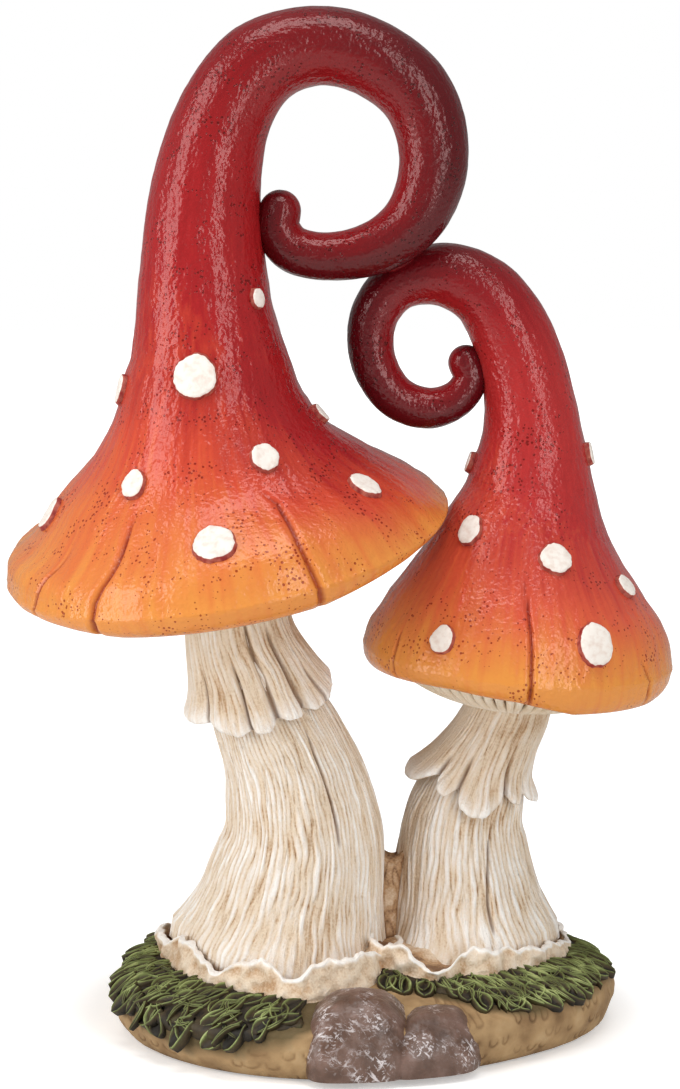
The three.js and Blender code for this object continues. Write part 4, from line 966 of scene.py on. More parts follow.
def shapeFrill(name, frill, node):
    stem, sides, thickness = frill["stem"], frill["sides"], frill["thickness"]
    foot, footRadius = stem["spine"]["line"][0], stem["stations"][0][3]
    turn = wrapped(roundTurn(sides))
    wall, rim, lift = (byBearing(frill["rim"], turn, column, ruffle["blur"]) for column in (1, 2, 3))
    ways = np.stack([np.cos(turn), np.sin(turn)], axis=1)
    edge = np.column_stack([(footRadius + rim)[:, None] * ways, np.full(sides, 3.0)])
    rim = rim + relief(edge, *ruffle["out"])
    lift = lift + relief(edge, *ruffle["up"]) + relief(edge, *ruffle["nips"])
    thick = thickness * (1 + relief(edge, *ruffle["thick"]))
    hidden = frill["flare"] * (rim - thickness)  # out to here the flared stem covers it
    low, cup = 0.3 * lift, rim - 1.2 * thick
    section = [  # distance outside the foot and rise over the mound, once round the collar's wall
        (hidden * 0.4, -2.5), (wall, -2.5), (wall, 0.4), (wall - 0.2 * (wall - rim), 0.25 * lift),
        (wall - 0.75 * (wall - rim), 0.7 * lift), (rim, lift - 0.4), (rim - 0.15 * thick, lift),
        (rim - 0.7 * thick, lift + 0.1), (rim - 1.05 * thick, lift - 0.5), (cup, 0.6 * lift + 0.3),
        (0.5 * cup + 0.5 * hidden, low + 0.6), (hidden, low), (hidden * 0.4, low)]
    looped = np.array([np.broadcast_arrays(out, rise, turn)[:2] for out, rise in section + section[:1]])
    share = np.linspace(0, 1, ruffle["rows"] + 1)[:-1]
    fine = throughStations(looped.reshape(len(looped), -1), share, False)
    rings, tones = [], []
    for place, (out, rise) in zip(share * len(section), fine.reshape(len(share), 2, sides)):
        flat = foot[:2] + ways * (footRadius + out)[:, None]
        _, ridge = stemPattern(stem, turn, rise - out, np.column_stack([flat, rise]))
        folds = softNoise(np.column_stack([flat, rise * 1.2]), *ruffle["folds"][1:])
        onWall = smoothStep(place, 1.5, 3) * (1 - smoothStep(place, 9.5, 11))
        nicks = relief(np.column_stack([flat, rise * 0.6]), *ruffle["nicks"])
        flat = flat + ways * (onWall * (ruffle["folds"][0] * folds + nicks))[:, None]
        rings.append(np.column_stack([flat, moundHeight(flat[:, 0], flat[:, 1]) + rise]))
        onRim = smoothStep(place, 4.4, 5.2) * (1 - smoothStep(place, 7.6, 8.6))
        # the valley where the cup meets the stem is darkened: partly the wash, partly painted shade
        valley = np.exp(-((place - 10.2) / 1.1) ** 2)
        tones.append((0.26 + 0.1 * ridge + 0.16 * folds + 0.5 * onRim - 0.35 * valley) * np.ones(sides))
    mesh = toMesh(name, np.vstack(rings), loopFaces(len(rings), sides), stemFinish, {
        "ridge": np.concatenate(tones), "cut": np.zeros(sides * len(rings))})
    return setDown(name, mesh, [node])


shapeFrill("largeFrillCollar", largeFrill, "large_frill")
shapeFrill("smallFrillCollar", smallFrill, "small_frill")
print("frills: cups with wavy rims")

# Web between the stems, painted in the dark wash and groove browns: partly the wash, partly painted shade in
# the V between the stems
web = {
    "overlap": 3.5, "halfDepth": 9.5, "height": 35, "saddle": 6, "root": 3, "sides": 120, "rows": 60,
    "taper": 0.35, "closing": 5, "saddleLength": 14, "wrinkles": (0.7, [3, 3, 14], 32),
}


def shapeWeb():
    turn = roundTurn(web["sides"])
    rings = []
    for rise in np.linspace(-web["root"], web["height"], web["rows"]):
        level = max(0.0, rise) + mound["crown"]
        large, small = (frameAt(spine, distanceAtHeight(spine, level))
                        for spine in (largeStem["spine"], smallStem["spine"]))
        left, right = large[0][0] + large[4], small[0][0] - small[4]
        middle, gap = (left + right) / 2, (right - left) / 2
        taper = 1 - web["taper"] * rise / web["height"]
        closed = smoothStep(rise, web["height"] - web["closing"], web["height"] + 1)
        closing = np.sqrt(max(0.05, 1 - closed ** 2))
        x = middle + (gap + web["overlap"]) * np.cos(turn)
        y = web["halfDepth"] * taper * np.sin(turn) * closing
        bowed = smoothStep(rise, web["height"] - web["saddleLength"], web["height"])
        saddle = web["saddle"] * bowed * np.sin(turn) ** 2
        rings.append(np.column_stack([x, y, mound["crown"] + rise - saddle]))
    points = withPoles(rings)
    points[-1, 2] -= web["saddle"]
    # ridge of 0.2 or less gives the web's dark browns: partly the wash, partly painted shade in the V between
    # the stems
    ridge = 0.2 * creases(points, [2.4, 2.4, 6], 31)
    points[:, 1] += relief(points, *web["wrinkles"])
    mesh = toMesh("webResin", points, tubeFaces([web["sides"]] * web["rows"]), stemFinish,
                  {"ridge": ridge, "cut": np.zeros(len(points))})
    return setDown("webResin", mesh, ["stem_web"])


shapeWeb()

# Bead where the curls meet
bead = {"length": 15, "height": 6, "sides": 64, "rows": 40, "lumps": (0.3, 3, 33)}


def shapeBead():
    low, high = (np.array(corner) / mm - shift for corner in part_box("curl_bead"))
    middle = (low + high) / 2
    way = np.array([1.0, 0.0, (high[2] - low[2]) / (high[0] - low[0])])
    way = way / np.linalg.norm(way)
    across = np.array([-way[2], 0, way[0]])
    rings = []
    turn = roundTurn(bead["sides"])
    for lean in np.linspace(-1.45, 1.45, bead["rows"]):
        size = bead["height"] / 2 * np.cos(lean)
        ring = middle + way * bead["length"] / 2 * np.sin(lean) + np.outer(np.cos(turn), across) * size
        rings.append(ring + np.outer(np.sin(turn), [0, -1, 0]) * size)
    points = withPoles(rings)
    points = points + relief(points, *bead["lumps"])[:, None] * unit(points - middle)
    mesh = toMesh("curlBead", points, tubeFaces([bead["sides"]] * bead["rows"]), largeLacquer, {
        "glaze": np.full(len(points), 0.9), "cut": np.zeros(len(points)), "grain": points})
    return setDown("curlBead", mesh, ["curl_bead"])


shapeBead()
print("web and bead")


# Geometry Nodes: a tree with named inputs, and a mesh run through it
def newTree(name, inputs):
    tree = bpy.data.node_groups.new(name, "GeometryNodeTree")
    tree.interface.new_socket("Geometry", in_out="INPUT", socket_type="NodeSocketGeometry")
    sockets = {}
    for label, (kind, value) in inputs.items():
        socket = tree.interface.new_socket(label, in_out="INPUT", socket_type="NodeSocket" + kind)
        if value is not None:
            socket.default_value = value
        sockets[label] = socket.identifier
    tree.interface.new_socket("Geometry", in_out="OUTPUT", socket_type="NodeSocketGeometry")
    return tree, sockets


def growMesh(name, base, tree, sockets, values):  # base run through the tree, as a plain mesh
    carrier = bpy.data.objects.new(name + "Carrier", base)
    bpy.context.scene.collection.objects.link(carrier)
    modifier = carrier.modifiers.new("grow", "NODES")
    modifier.node_group = tree
    for label, value in values.items():
        modifier[sockets[label]] = value
    bpy.context.view_layer.update()
    grown = bpy.data.meshes.new_from_object(carrier.evaluated_get(bpy.context.evaluated_depsgraph_get()))
    grown.name = name
    carrier.modifiers.remove(modifier)
    bpy.data.objects.remove(carrier)
    return grown


# Gills: a dish in the hollow of the cap, with ribs set round it
gills = {"gap": 0.4, "seat": 2.7, "sides": 360, "ribWidth": 1.6, "steps": 16}


def gillTree():
    tree, sockets = newTree("gillRibs", {
        "Count": ("Int", 90), "Width": ("Float", 0.001), "Steps": ("Int", 12), "Material": ("Material", None),
        **{label: ("Vector", None) for label in ("Start", "Middle", "End", "Centre", "Tilt")}})
    given = tree.nodes.new("NodeGroupInput")
    arch = addNode(tree, "GeometryNodeCurveQuadraticBezier", {
        "Resolution": given.outputs["Steps"], "Start": given.outputs["Start"],
        "Middle": given.outputs["Middle"], "End": given.outputs["End"]})
    ring = addNode(tree, "GeometryNodeCurvePrimitiveCircle", {
        "Resolution": 6, "Radius": given.outputs["Width"]})
    rib = addNode(tree, "GeometryNodeCurveToMesh", {
        "Curve": arch, "Profile Curve": ring, "Fill Caps": True})
    seat = addNode(tree, "GeometryNodeMeshCircle", {"Vertices": given.outputs["Count"], "Radius": 0.00001})
    index = addNode(tree, "GeometryNodeInputIndex")
    step = addNode(tree, "Math", {0: 2 * np.pi, 1: given.outputs["Count"]}, operation="DIVIDE")
    angle = addNode(tree, "Math", {0: index, 1: step}, operation="MULTIPLY")
    jitter = addNode(tree, "FunctionNodeRandomValue", {
        2: -0.012, 3: 0.012, "Seed": 5}, output=1, data_type="FLOAT")
    angle = addNode(tree, "Math", {0: angle, 1: jitter}, operation="ADD")
    turn = addNode(tree, "CombineXYZ", {"Z": angle})
    ribs = addNode(tree, "GeometryNodeInstanceOnPoints", {
        "Points": seat, "Instance": rib, "Rotation": turn})
    real = addNode(tree, "GeometryNodeRealizeInstances", {"Geometry": ribs})
    moved = addNode(tree, "GeometryNodeTransform", {
        "Geometry": real, "Translation": given.outputs["Centre"], "Rotation": given.outputs["Tilt"]})
    painted = addNode(tree, "GeometryNodeSetMaterial", {
        "Geometry": moved, "Material": given.outputs["Material"]})
    addNode(tree, "NodeGroupOutput", {"Geometry": painted})
    return tree, sockets


def joinMeshes(name, meshes, material, tags):  # as one mesh, each tag filled where a mesh lacks it
    points, faces, filled, start = [], [], {tag: [] for tag in tags}, 0
    for mesh in meshes:
        flat = np.zeros(len(mesh.vertices) * 3)
        mesh.vertices.foreach_get("co", flat)
        points.append(flat.reshape(-1, 3))
        faces += [[start + i for i in polygon.vertices] for polygon in mesh.polygons]
        for tag, missing in tags.items():
            values = np.full(len(mesh.vertices), float(missing))
            if tag in mesh.attributes:
                mesh.attributes[tag].data.foreach_get("value", values)
            filled[tag].append(values)
        start += len(mesh.vertices)
    return toMesh(name, np.vstack(points) / mm - shift, faces, material,
                  {tag: np.concatenate(values) for tag, values in filled.items()})


def shapeGills(name, cap, node, tree, sockets):
    at, along, right, back, radius = frameAt(cap["spine"], 0.0)
    outer = radius - cap["lip"] - gills["gap"]
    drop, sides = cap["gillDrop"], gills["sides"]
    radial = spokes(right, back, roundTurn(sides))
    profile = throughStations([
        [1, gills["seat"]], [0.995, 0.0], [0.96, -drop * 0.24], [0.66, -drop * 0.66], [0.3, -drop * 0.92],
        [0.12, -drop * 0.96]], np.linspace(0, 1, 30), False)
    rings = [at + radial * outer * share + along * ahead for share, ahead in profile]
    dish = toMesh(name + "Dish", withPoles(rings[::-1]), tubeFaces([sides] * len(rings)), gillFinish, {
        "ridge": np.full(sides * len(rings) + 2, 0.1)})
    tilt = [np.arctan2(back[2], along[2]), -np.arcsin(right[2]), np.arctan2(right[1], right[0])]
    ribs = growMesh(name + "Ribs", bpy.data.meshes.new("seed"), tree, sockets, {
        "Count": cap["gillCount"], "Start": (outer * 0.985 * mm, 0, -0.06 * drop * mm),
        "Middle": (outer * 0.76 * mm, 0, -0.8 * drop * mm),
        "End": (outer * 0.24 * mm, 0, -0.97 * drop * mm),
        "Width": gills["ribWidth"] * mm, "Steps": gills["steps"], "Centre": tuple((at + shift) * mm),
        "Tilt": tuple(tilt), "Material": gillFinish})
    mesh = joinMeshes(name, [dish, ribs], gillFinish, {"ridge": 0.66, "cut": 0.0})
    return setDown(name, mesh, [node])


ribTree, ribSockets = gillTree()
shapeGills("largeGillRibs", largeCap, "large_gills", ribTree, ribSockets)
shapeGills("smallGillRibs", smallCap, "small_gills", ribTree, ribSockets)
print("gills: ribs set round the dishes")


# Grass: cupped blades fanned over a low turf; each row of a mat gives a bearing and how far in from
# the mound's edge the mat's outer edge lies there
grass = {
    "mats": {
        "grass_right": [(-74, 34), (-60, 25), (-50, 11), (-40, 3), (-25, 2), (-10, 4), (0, 4), (46, 2)],
        "grass_left": [(168, 3), (195, 3), (215, 1), (235, -3), (248, -6), (260, -5), (268, 0), (274, 6)],
        "grass_back": [(50, 0), (107, -1), (164, 0)]},
    "inner": 44, "turf": 1.1, "rounding": 8, "dip": 0.3, "inset": 0.78, "combing": -12,
    "raggedEdge": (1.6, 5, 53), "tufts": (0.6, 3, 51), "fluff": (0.35, 1.2, 52),  # height, size across, seed
    "blade": {"length": 10, "side": 1.9, "hollow": 0.3, "pitch": 8.8, "row": 7.6},
    "kinds": [  # curl, half width, cupped
        (-1.0, 3.0, 1), (0.3, 2.6, 1), (1.0, 3.1, 1), (-1.7, 0.7, 0), (0.8, 0.6, 0), (1.8, 0.7, 0)],
    "layers": [  # spacing, size, swing in degrees, lift, first kind
        (0.72, 1.0, 24, 0.0, 0), (0.8, 0.8, 50, 0.2, 3)],
}


# Ground: the sandy band and crown, stained green under the grass and a little below it
def mossAt(points):
    bearing, share = onMound(points[:, 0], points[:, 1])
    inward = (1 - share) * mound["halfWidth"]
    below = np.where(points[:, 2] < mound["band"], mound["band"] - points[:, 2], 0)
    stain = np.zeros(len(points))
    for mat in grass["mats"].values():
        first, last = mat[0][0], mat[-1][0]
        degrees = (np.degrees(bearing) - first + 20) % 360 + first - 20
        outer = np.interp(degrees, *zip(*mat)) - np.where(below > 0, 0, inward) + below
        within = smoothStep(degrees, first - 4, first + 3) * (1 - smoothStep(degrees, last - 3, last + 4))
        stain = np.maximum(stain, within * (1 - smoothStep(outer, -2, 8)))
    return stain


def scallops(around, high):  # 1 on the crescents pressed into the sand
    wide, tall = mound["scallop"]
    row = np.floor(high / tall)
    aside = around / wide + row % 2 / 2  # every other row stands half a mark aside
    column = np.floor(aside)
    key = column * 5.71 + row * 13.17  # sets each mark apart from its neighbours
    across = (aside - column - 0.5 - 0.2 * np.sin(key * 12.9)) * wide * (1.25 + 0.3 * np.sin(key * 5.3))
    over = (high / tall - row - 0.62 - 0.15 * np.sin(key * 7.7)) * tall
    ring = np.exp(-((np.hypot(across, over * 1.1) - 0.36 * wide) / 0.5) ** 2)
    return ring * (1 - smoothStep(over, -0.2, 1.4)) * smoothStep(np.sin(key * 3.1), -0.5, 0.2)


def shapeGround():
    sides = mound["sides"]
    turn = roundTurn(sides)
    band, bevel = mound["band"], mound["bevel"]
    side = throughStations([
        [1, -bevel, 0], [1, -bevel * 0.6, band * 0.08], [1, -bevel * 0.3, band * 0.24],
        [1, -bevel * 0.08, band * 0.5], [1, 0, band * 0.75], [1, -bevel * 0.08, band]],
        np.linspace(0, 1, 46), False)
    outline = [[0.5, 0, 0], [0.9, 0, 0], *side.tolist()]
    outline += [[share, 0, skinHeight(np.array(share))] for share in np.linspace(0.985, 0.1, 70)]
    rings = [moundPoint(turn, share, float(z), out) for share, out, z in outline]
    points = withPoles(rings)
    radial = unit((points - [*mound["middle"], 0]) * [1, 1, 0.001])
    smooth = smoothStep(points[:, 2], 0.2, 2.5)  # the underside stays flat
    lumps = relief(points, *mound["lumps"]) + relief(points, *mound["grit"])
    around = np.append(np.tile(turn, len(rings)), [0, 0]) * mound["halfWidth"]
    around = around + relief(points, *mound["sway"], 45)
    high = points[:, 2] + 0.35 * np.hypot(*points[:, :2].T) + relief(points, *mound["sway"], 46)
    marks = scallops(around, high) * (0.6 + 0.5 * softNoise(points, 14, 47))
    points = points + radial * ((lumps - mound["scallopDepth"] * marks) * smooth)[:, None]
    mesh = toMesh("groundSand", points, tubeFaces([sides] * len(rings)), sandFinish, {
        "ridge": 0.6 + 0.35 * lumps - 0.7 * marks, "moss": mossAt(points)})
    return setDown("groundSand", mesh, ["ground"])


shapeGround()


# Stones: the middle's x, width, height and depth
stones = {
    "large": {"size": [5.9, 38, 26.4, 34], "seed": 3},
    "small": {"size": [31.0, 32.4, 19.8, 29], "seed": 8},
    "foot": 2.5, "proud": 4.2, "roundness": 0.6, "sides": 240, "rows": 110,
    "lumps": (0.4, 18), "dents": (0.3, 5), "chips": (0.12, 1.6),  # height, size across
}


def frontEdge(x):
    edge = moundPoint(np.radians(np.arange(195, 345)), 1.0, 0.0)
    return np.interp(x, edge[:, 0], edge[:, 1])


def stoneMiddle(stone):  # a stone stands a little proud of the mound's front edge
    x, _, _, depth = stone["size"]
    return np.array([x, frontEdge(x) - stones["proud"] + depth / 2, stones["foot"]])


def blunt(value):  # makes an oval a little square
    return np.sign(value) * np.abs(value) ** stones["roundness"]


def shapeStone(name, stone, node):
    x, width, height, depth = stone["size"]
    middle, turn = stoneMiddle(stone), roundTurn(stones["sides"])
    lump = 1 + 0.02 * np.cos(3 * turn + x) + 0.02 * np.sin(5 * turn)
    profile = throughStations([
        [0.97, 0], [1, 0.14], [0.97, 0.36], [0.87, 0.58], [0.69, 0.78], [0.43, 0.93], [0.12, 1.0]],
        np.linspace(0, 1, stones["rows"]), False)
    rings = []
    for share, rise in profile:
        rings.append(middle + np.column_stack([
            width / 2 * share * lump * blunt(np.cos(turn)), depth / 2 * share * lump * blunt(np.sin(turn)),
            np.full(len(turn), height * rise)]))
    points = withPoles(rings)
    points[:, 1] += 0.8 * (frontEdge(points[:, 0]) - frontEdge(x))  # bent along the mound's edge
    out = unit(points - (middle + [0, 0, height * 0.45]))
    seed = stone["seed"]
    lumps = relief(points, *stones["lumps"], seed) + relief(points, *stones["dents"], seed + 1)
    chips = relief(points, *stones["chips"], seed + 2)
    points = points + out * ((lumps + chips) * smoothStep(points[:, 2], 2.6, 6))[:, None]
    faces = tubeFaces([len(turn)] * len(rings))
    mesh = toMesh(name, points, faces, stoneFinish, {"ridge": 0.5 + 0.5 * lumps})
    return setDown(name, mesh, [node])


shapeStone("largeBoulder", stones["large"], "large_stone")
shapeStone("smallBoulder", stones["small"], "small_stone")
print("ground and stones")


def scatter(number):  # spreads whole numbers between -1 and 1
    return np.sin(12.9 * number + 4.1 * np.sin(7.3 * number))


def onSkin(bearing, inward, rise):  # past the mound's edge, where inward is below 0, it turns down
    share = 1 - np.maximum(0, inward) / mound["halfWidth"]
    bent = np.clip(0.75 - inward / grass["rounding"], 0, 1)
    z = skinHeight(share) + np.minimum(0, inward) + rise * (1 - bent)
    return moundPoint(bearing, share, z, rise * bent)


def bladeMesh(name, curl, half, cupped):  # one blade, from the origin along +X; cupped raises its edges
    blade = grass["blade"]
    stations = 9
    rings, edges = [], []
    for i in range(stations):
        u = i / (stations - 1)
        tapered = np.sqrt(1 - np.clip((u - 0.55) / 0.455, 0, 1) ** 2)
        wide = half * (0.35 + 0.65 * smoothStep(u, 0, 0.45)) * tapered
        side = 0.5 + (blade["side"] - 0.5) * np.sin(np.pi * min(1, 0.16 + 0.72 * u))
        deep = (side - blade["hollow"]) * cupped * (1 - smoothStep(u, 0.7, 0.98)) + 0.2
        y = curl * u * u * 3.2
        # the cup floor and the walls under the blade get paint 0, near black: partly the base coat, partly
        # painted shade
        section = [  # share of the half width, sunk under the edge, paint of the edge
            (-1, 0, 1), (-0.78, 0.45 * deep, 0.5), (-0.5, 0.9 * deep, 0.08), (0, deep, 0.0),
            (0.5, 0.9 * deep, 0.08), (0.78, 0.45 * deep, 0.5), (1, 0, 1), (1.16, 0.5, 0.4),
            (1.3, side + 1.2, 0.0), (-1.3, side + 1.2, 0.0), (-1.16, 0.5, 0.4)]
        rings.append(np.array([
            [blade["length"] * u, y + wide * across, side - sunk] for across, sunk, _ in section]))
        edges += [edge if edge in (0.0, 0.4, 1) or cupped else 0.8 for _, _, edge in section]
    mesh = bpy.data.meshes.new(name)
    mesh.from_pydata((withPoles(rings) * mm).tolist(), [], tubeFaces([len(section)] * stations))
    layer = mesh.attributes.new("edge", "FLOAT", "POINT")
    layer.data.foreach_set("value", edges + [0.1, 0.4])
    mesh.shade_smooth()
    mesh.flip_normals()
    return mesh


def grassTree():
    tree, sockets = newTree("grassBlades", {"Blades": ("Collection", None), "Material": ("Material", None)})
    given = tree.nodes.new("NodeGroupInput")
    kinds = addNode(tree, "GeometryNodeCollectionInfo", {
        "Collection": given.outputs["Blades"], "Separate Children": True, "Reset Children": True},
        output="Instances")
    kind = addNode(tree, "GeometryNodeInputNamedAttribute", {"Name": "kind"}, data_type="INT")
    ahead, upward, size = (
        addNode(tree, "GeometryNodeInputNamedAttribute", {"Name": tag}, data_type="FLOAT_VECTOR")
        for tag in ("ahead", "upward", "size"))
    lean = addNode(tree, "FunctionNodeAlignRotationToVector", {"Vector": ahead}, axis="X")
    aim = addNode(tree, "FunctionNodeAlignRotationToVector", {
        "Rotation": lean, "Vector": upward}, axis="Z", pivot_axis="X")
    points = addNode(tree, "GeometryNodeMeshToPoints", {"Mesh": given.outputs["Geometry"]})
    blades = addNode(tree, "GeometryNodeInstanceOnPoints", {
        "Points": points, "Instance": kinds, "Pick Instance": True, "Instance Index": kind,
        "Rotation": aim, "Scale": size})
    real = addNode(tree, "GeometryNodeRealizeInstances", {"Geometry": blades})
    painted = addNode(tree, "GeometryNodeSetMaterial", {
        "Geometry": real, "Material": given.outputs["Material"]})
    addNode(tree, "NodeGroupOutput", {"Geometry": painted})
    return tree, sockets


def clearOfFrills(points, room):  # True where a place on the mound is outside both frills
    clear = np.ones(len(points), bool)
    for frill in (largeFrill, smallFrill):
        foot = frill["stem"]["foot"]
        turn = np.arctan2(points[:, 1] - foot[1], points[:, 0] - foot[0])
        away = np.hypot(points[:, 0] - foot[0], points[:, 1] - foot[1])
        clear &= away > frill["stem"]["stations"][0][3] + byBearing(frill["rim"], turn, 1) + room
    return clear


def clearOfStones(points, room):  # True where it is outside both stones
    clear = np.ones(len(points), bool)
    for stone in (stones["large"], stones["small"]):
        halves = np.array(stone["size"])[[1, 3]] / 2 + room  # of the width and the depth
        clear &= np.sum(((points - stoneMiddle(stone))[:, :2] / halves) ** 2, axis=1) > 1
    return clear


def layBlades(mat, layer):  # root, ahead, upward, size and kind of each blade of a layer
    spacing, size, swing, lift, firstKind = layer
    pitch = np.degrees(grass["blade"]["pitch"] * spacing / mound["halfWidth"])
    step, long = grass["blade"]["row"] * spacing, grass["blade"]["length"] * size
    first, last = mat[0][0], mat[-1][0]
    columns = int((last - first) / pitch)
    rows = int(np.ceil(grass["inner"] / step))
    row, column = places(np.arange(rows), np.arange(1, columns))
    number = row * columns + column
    degrees = first + pitch * (column + (row % 2) / 2 + 0.25 * scatter(number + 0.7))
    inset = grass["inset"] * grass["blade"]["length"]
    inward = np.interp(degrees, *zip(*mat)) + inset + step * (row - lift)
    keep = inward <= grass["inner"]
    turn, inward, number = np.radians(degrees[keep]), inward[keep], number[keep]
    swung = np.radians(swing * scatter(number) + grass["combing"])
    grown = size * (1 + 0.2 * scatter(number + 0.4))
    around = np.sin(swung) * long / mound["halfDepth"]
    base = grass["turf"] - 0.7 + lift
    root = onSkin(turn, inward, base)
    tip = onSkin(turn + around, inward - np.cos(swung) * long, base - grass["dip"])
    aside = onSkin(turn + np.cos(swung) * 0.02, inward + np.sin(swung) * 0.02 * mound["halfDepth"], base)
    ahead = unit(tip - root)
    upward = unit(np.cross(ahead, unit(aside - root)))
    crest = onSkin(turn + around / 2, inward - np.cos(swung) * long / 2, base)
    sag = np.sum((crest - (root + tip) / 2) * upward, axis=1)
    root = root + 0.75 * upward * np.maximum(0, sag)[:, None]
    kind = firstKind + (number * 7 + row[keep] * 3) % 3
    middle = (root + tip) / 2
    clear = clearOfFrills(middle, 2.0) & clearOfStones(middle, 1.5)
    sizes = np.column_stack([grown, grown, 0.6 * grown + 0.4])
    return [value[clear] for value in (root, ahead, upward, sizes, kind)]


def shapeTurf(name, mat):  # the closed slab that the blades stand on
    columns = int((mat[-1][0] - mat[0][0]) * 2)
    degrees = np.linspace(mat[0][0], mat[-1][0], columns)
    edge = np.interp(degrees, *zip(*mat))
    alongEdge = np.column_stack([degrees * 1.5, 0 * degrees, 0 * degrees])
    edge = edge + 2 + relief(alongEdge, *grass["raggedEdge"])
    inward = np.array([edge + (grass["inner"] - edge) * share for share in np.linspace(0, 1, 36)])
    rise = smoothStep(inward - edge, -0.6, 4) * grass["turf"]
    turn = np.radians(np.broadcast_to(degrees, inward.shape))
    top = onSkin(turn.ravel(), inward.ravel(), rise.ravel())
    bottom = onSkin(turn.ravel(), inward.ravel() + 1.5, np.full(turn.size, -1.5))
    keep = clearOfFrills(top, -0.5) & clearOfStones(top, -0.5)
    i, j = places(np.arange(len(inward) - 1), np.arange(columns - 1))
    here, up = i * columns + j, (i + 1) * columns + j
    quads = np.stack([here, here + 1, up + 1, up], 1)
    quads = quads[keep[quads].all(axis=1)]
    used, fresh = np.unique(quads, return_inverse=True)
    upper, count = fresh.reshape(-1, 4), len(used)
    faces = upper.tolist() + (upper[:, ::-1] + count).tolist()
    border = {}
    for quad in upper.tolist():
        for a, b in zip(quad, quad[1:] + quad[:1]):
            if (b, a) in border:
                del border[(b, a)]
            else:
                border[(a, b)] = True
    faces += [[b, a, a + count, b + count] for a, b in border]
    above = top[used]
    bumps = relief(above, *grass["tufts"]) + relief(above, *grass["fluff"])
    above = above + [0, 0, 1] * bumps[:, None]
    return toMesh(name, np.vstack([above, bottom[used]]), faces, grassFinish, {
        "edge": np.concatenate([0.2 + 0.3 * bumps, np.full(count, 0.1)])})


def shapeGrass(name, node, mat, tree, sockets, kinds):
    layers = [layBlades(mat, layer) for layer in grass["layers"]]
    root, ahead, upward, size, kind = (np.concatenate(values) for values in zip(*layers))
    seats = bpy.data.meshes.new(name + "Seats")
    seats.from_pydata(((root + shift) * mm).tolist(), [], [])
    for tag, values in (("ahead", ahead), ("upward", upward), ("size", size)):
        seats.attributes.new(tag, "FLOAT_VECTOR", "POINT").data.foreach_set("vector", values.ravel())
    seats.attributes.new("kind", "INT", "POINT").data.foreach_set("value", kind.astype(int))
    blades = growMesh(name + "Blades", seats, tree, sockets, {"Blades": kinds, "Material": grassFinish})
    mesh = joinMeshes(name, [shapeTurf(name + "Turf", mat), blades], grassFinish, {"edge": 0.1})
    return setDown(name, mesh, [node])


bladeTree, bladeSockets = grassTree()
bladeKinds = bpy.data.collections.new("bladeKinds")
for i, kind in enumerate(grass["kinds"]):
    bladeKinds.objects.link(bpy.data.objects.new(f"blade{i}", bladeMesh(f"blade{i}", *kind)))
for node, mat in grass["mats"].items():
    name = node.replace("grass_", "") + "GrassBlades"
    piece = shapeGrass(name, node, mat, bladeTree, bladeSockets, bladeKinds)
    print("grass:", piece.name, len(piece.data.polygons), "faces")
for blade in list(bladeKinds.objects):
    bpy.data.objects.remove(blade)
bpy.data.collections.remove(bladeKinds)

# Stage: a white floor that keeps the shadow close to the object
stage = {"half": 4.0, "nearShadow": 0.088, "farWhite": 0.135, "floor": "#f7f6f4", "lift": 0.35}
floorMesh = bpy.data.meshes.new("floor")
h = stage["half"]
floorMesh.from_pydata([(-h, -h, 0), (h, -h, 0), (h, h, 0), (-h, h, 0)], [], [(0, 1, 2, 3)])
floor = bpy.data.objects.new("floor", floorMesh)
bpy.context.scene.collection.objects.link(floor)
floorPaint, tree, place = newFinish("white paper floor")
away = addNode(tree, "VectorMath", {0: place}, output="Value", operation="LENGTH")
far = addNode(tree, "MapRange", {
    "Value": away, 1: stage["nearShadow"], 2: stage["farWhite"], 3: 0.0, 4: 1.0},
    interpolation_type="SMOOTHSTEP")
seen = addNode(tree, "LightPath", output="Is Camera Ray")
share = addNode(tree, "Math", {0: far, 1: seen}, operation="MULTIPLY")
paper = addNode(tree, "BsdfDiffuse", {"Color": linear(stage["floor"])})
glow = addNode(tree, "Emission", {"Color": (1, 1, 1, 1), "Strength": 1.0})
mixed = addNode(tree, "MixShader", {0: share, 1: paper, 2: glow})
lift = addNode(tree, "Math", {0: seen, 1: stage["lift"]}, operation="MULTIPLY")
lift = addNode(tree, "Emission", {"Color": (1, 1, 1, 1), "Strength": lift})
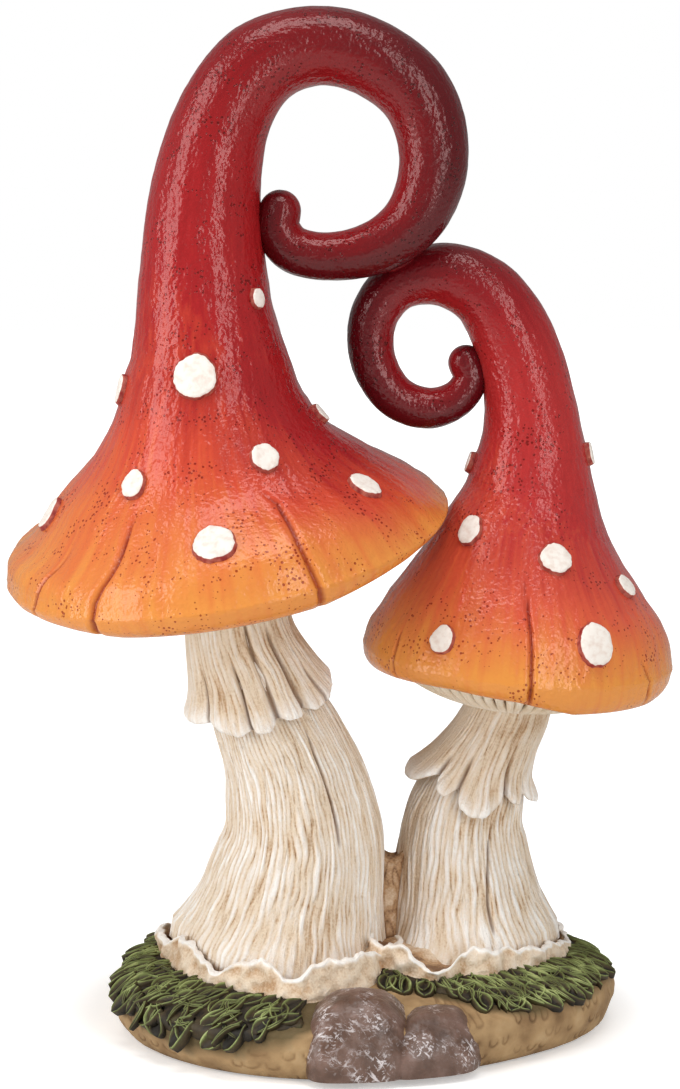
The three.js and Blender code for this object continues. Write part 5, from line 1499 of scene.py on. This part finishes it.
addNode(tree, "OutputMaterial", {"Surface": addNode(tree, "AddShader", {0: mixed, 1: lift})})
floorMesh.materials.append(floorPaint)

# Light: a pale surround and three soft boxes
light = {
    "world": 0.36,
    "boxes": {  # place, aim, width, height, watts
        "keyBox": [(-0.98, -0.45, 0.5), (0, 0, 0.17), 0.5, 1.1, 7.6],
        "fillBox": [(0.52, -0.95, 0.5), (0, 0, 0.17), 0.3, 1.0, 4.6],
        "topBox": [(-0.05, -0.25, 1.2), (0, 0, 0.2), 0.9, 0.4, 5.2],
    },
}
world = bpy.data.worlds.new("pale room")
bpy.context.scene.world = world
world.use_nodes = True
tree = world.node_tree
tree.nodes.clear()
seen = addNode(tree, "LightPath", output="Is Camera Ray")
room = addNode(tree, "Background", {"Color": (1, 1, 1, 1), "Strength": light["world"]})
white = addNode(tree, "Background", {"Color": (1, 1, 1, 1), "Strength": 1.0})
both = addNode(tree, "MixShader", {0: seen, 1: room, 2: white})
addNode(tree, "OutputWorld", {"Surface": both})
for name, (spot, aim, width, height, watts) in light["boxes"].items():
    lamp = bpy.data.lights.new(name, "AREA")
    lamp.shape = "RECTANGLE"
    lamp.size, lamp.size_y, lamp.energy = width, height, watts
    holder = bpy.data.objects.new(name, lamp)
    holder.location = spot
    holder.rotation_euler = (Vector(aim) - Vector(spot)).to_track_quat("-Z", "Y").to_euler()
    bpy.context.scene.collection.objects.link(holder)

# Camera: a metre in front, slightly above the middle, looking a little down
view = {"distance": 1000, "height": 300, "pitch": 7.6314, "focalPixels": 2907, "tall": 1089}
lens = bpy.data.cameras.new("frontCamera")
lens.sensor_width = 36
lens.lens = view["focalPixels"] / view["tall"] * lens.sensor_width
camera = bpy.data.objects.new("frontCamera", lens)
camera.location = ((np.array([0, -view["distance"], view["height"]]) + shift) * mm).tolist()
camera.rotation_euler = (np.radians(90 - view["pitch"]), 0, 0)
bpy.context.scene.collection.objects.link(camera)
bpy.context.scene.camera = camera
bpy.context.scene.view_settings.view_transform = "Standard"
print("stage, light and camera set")
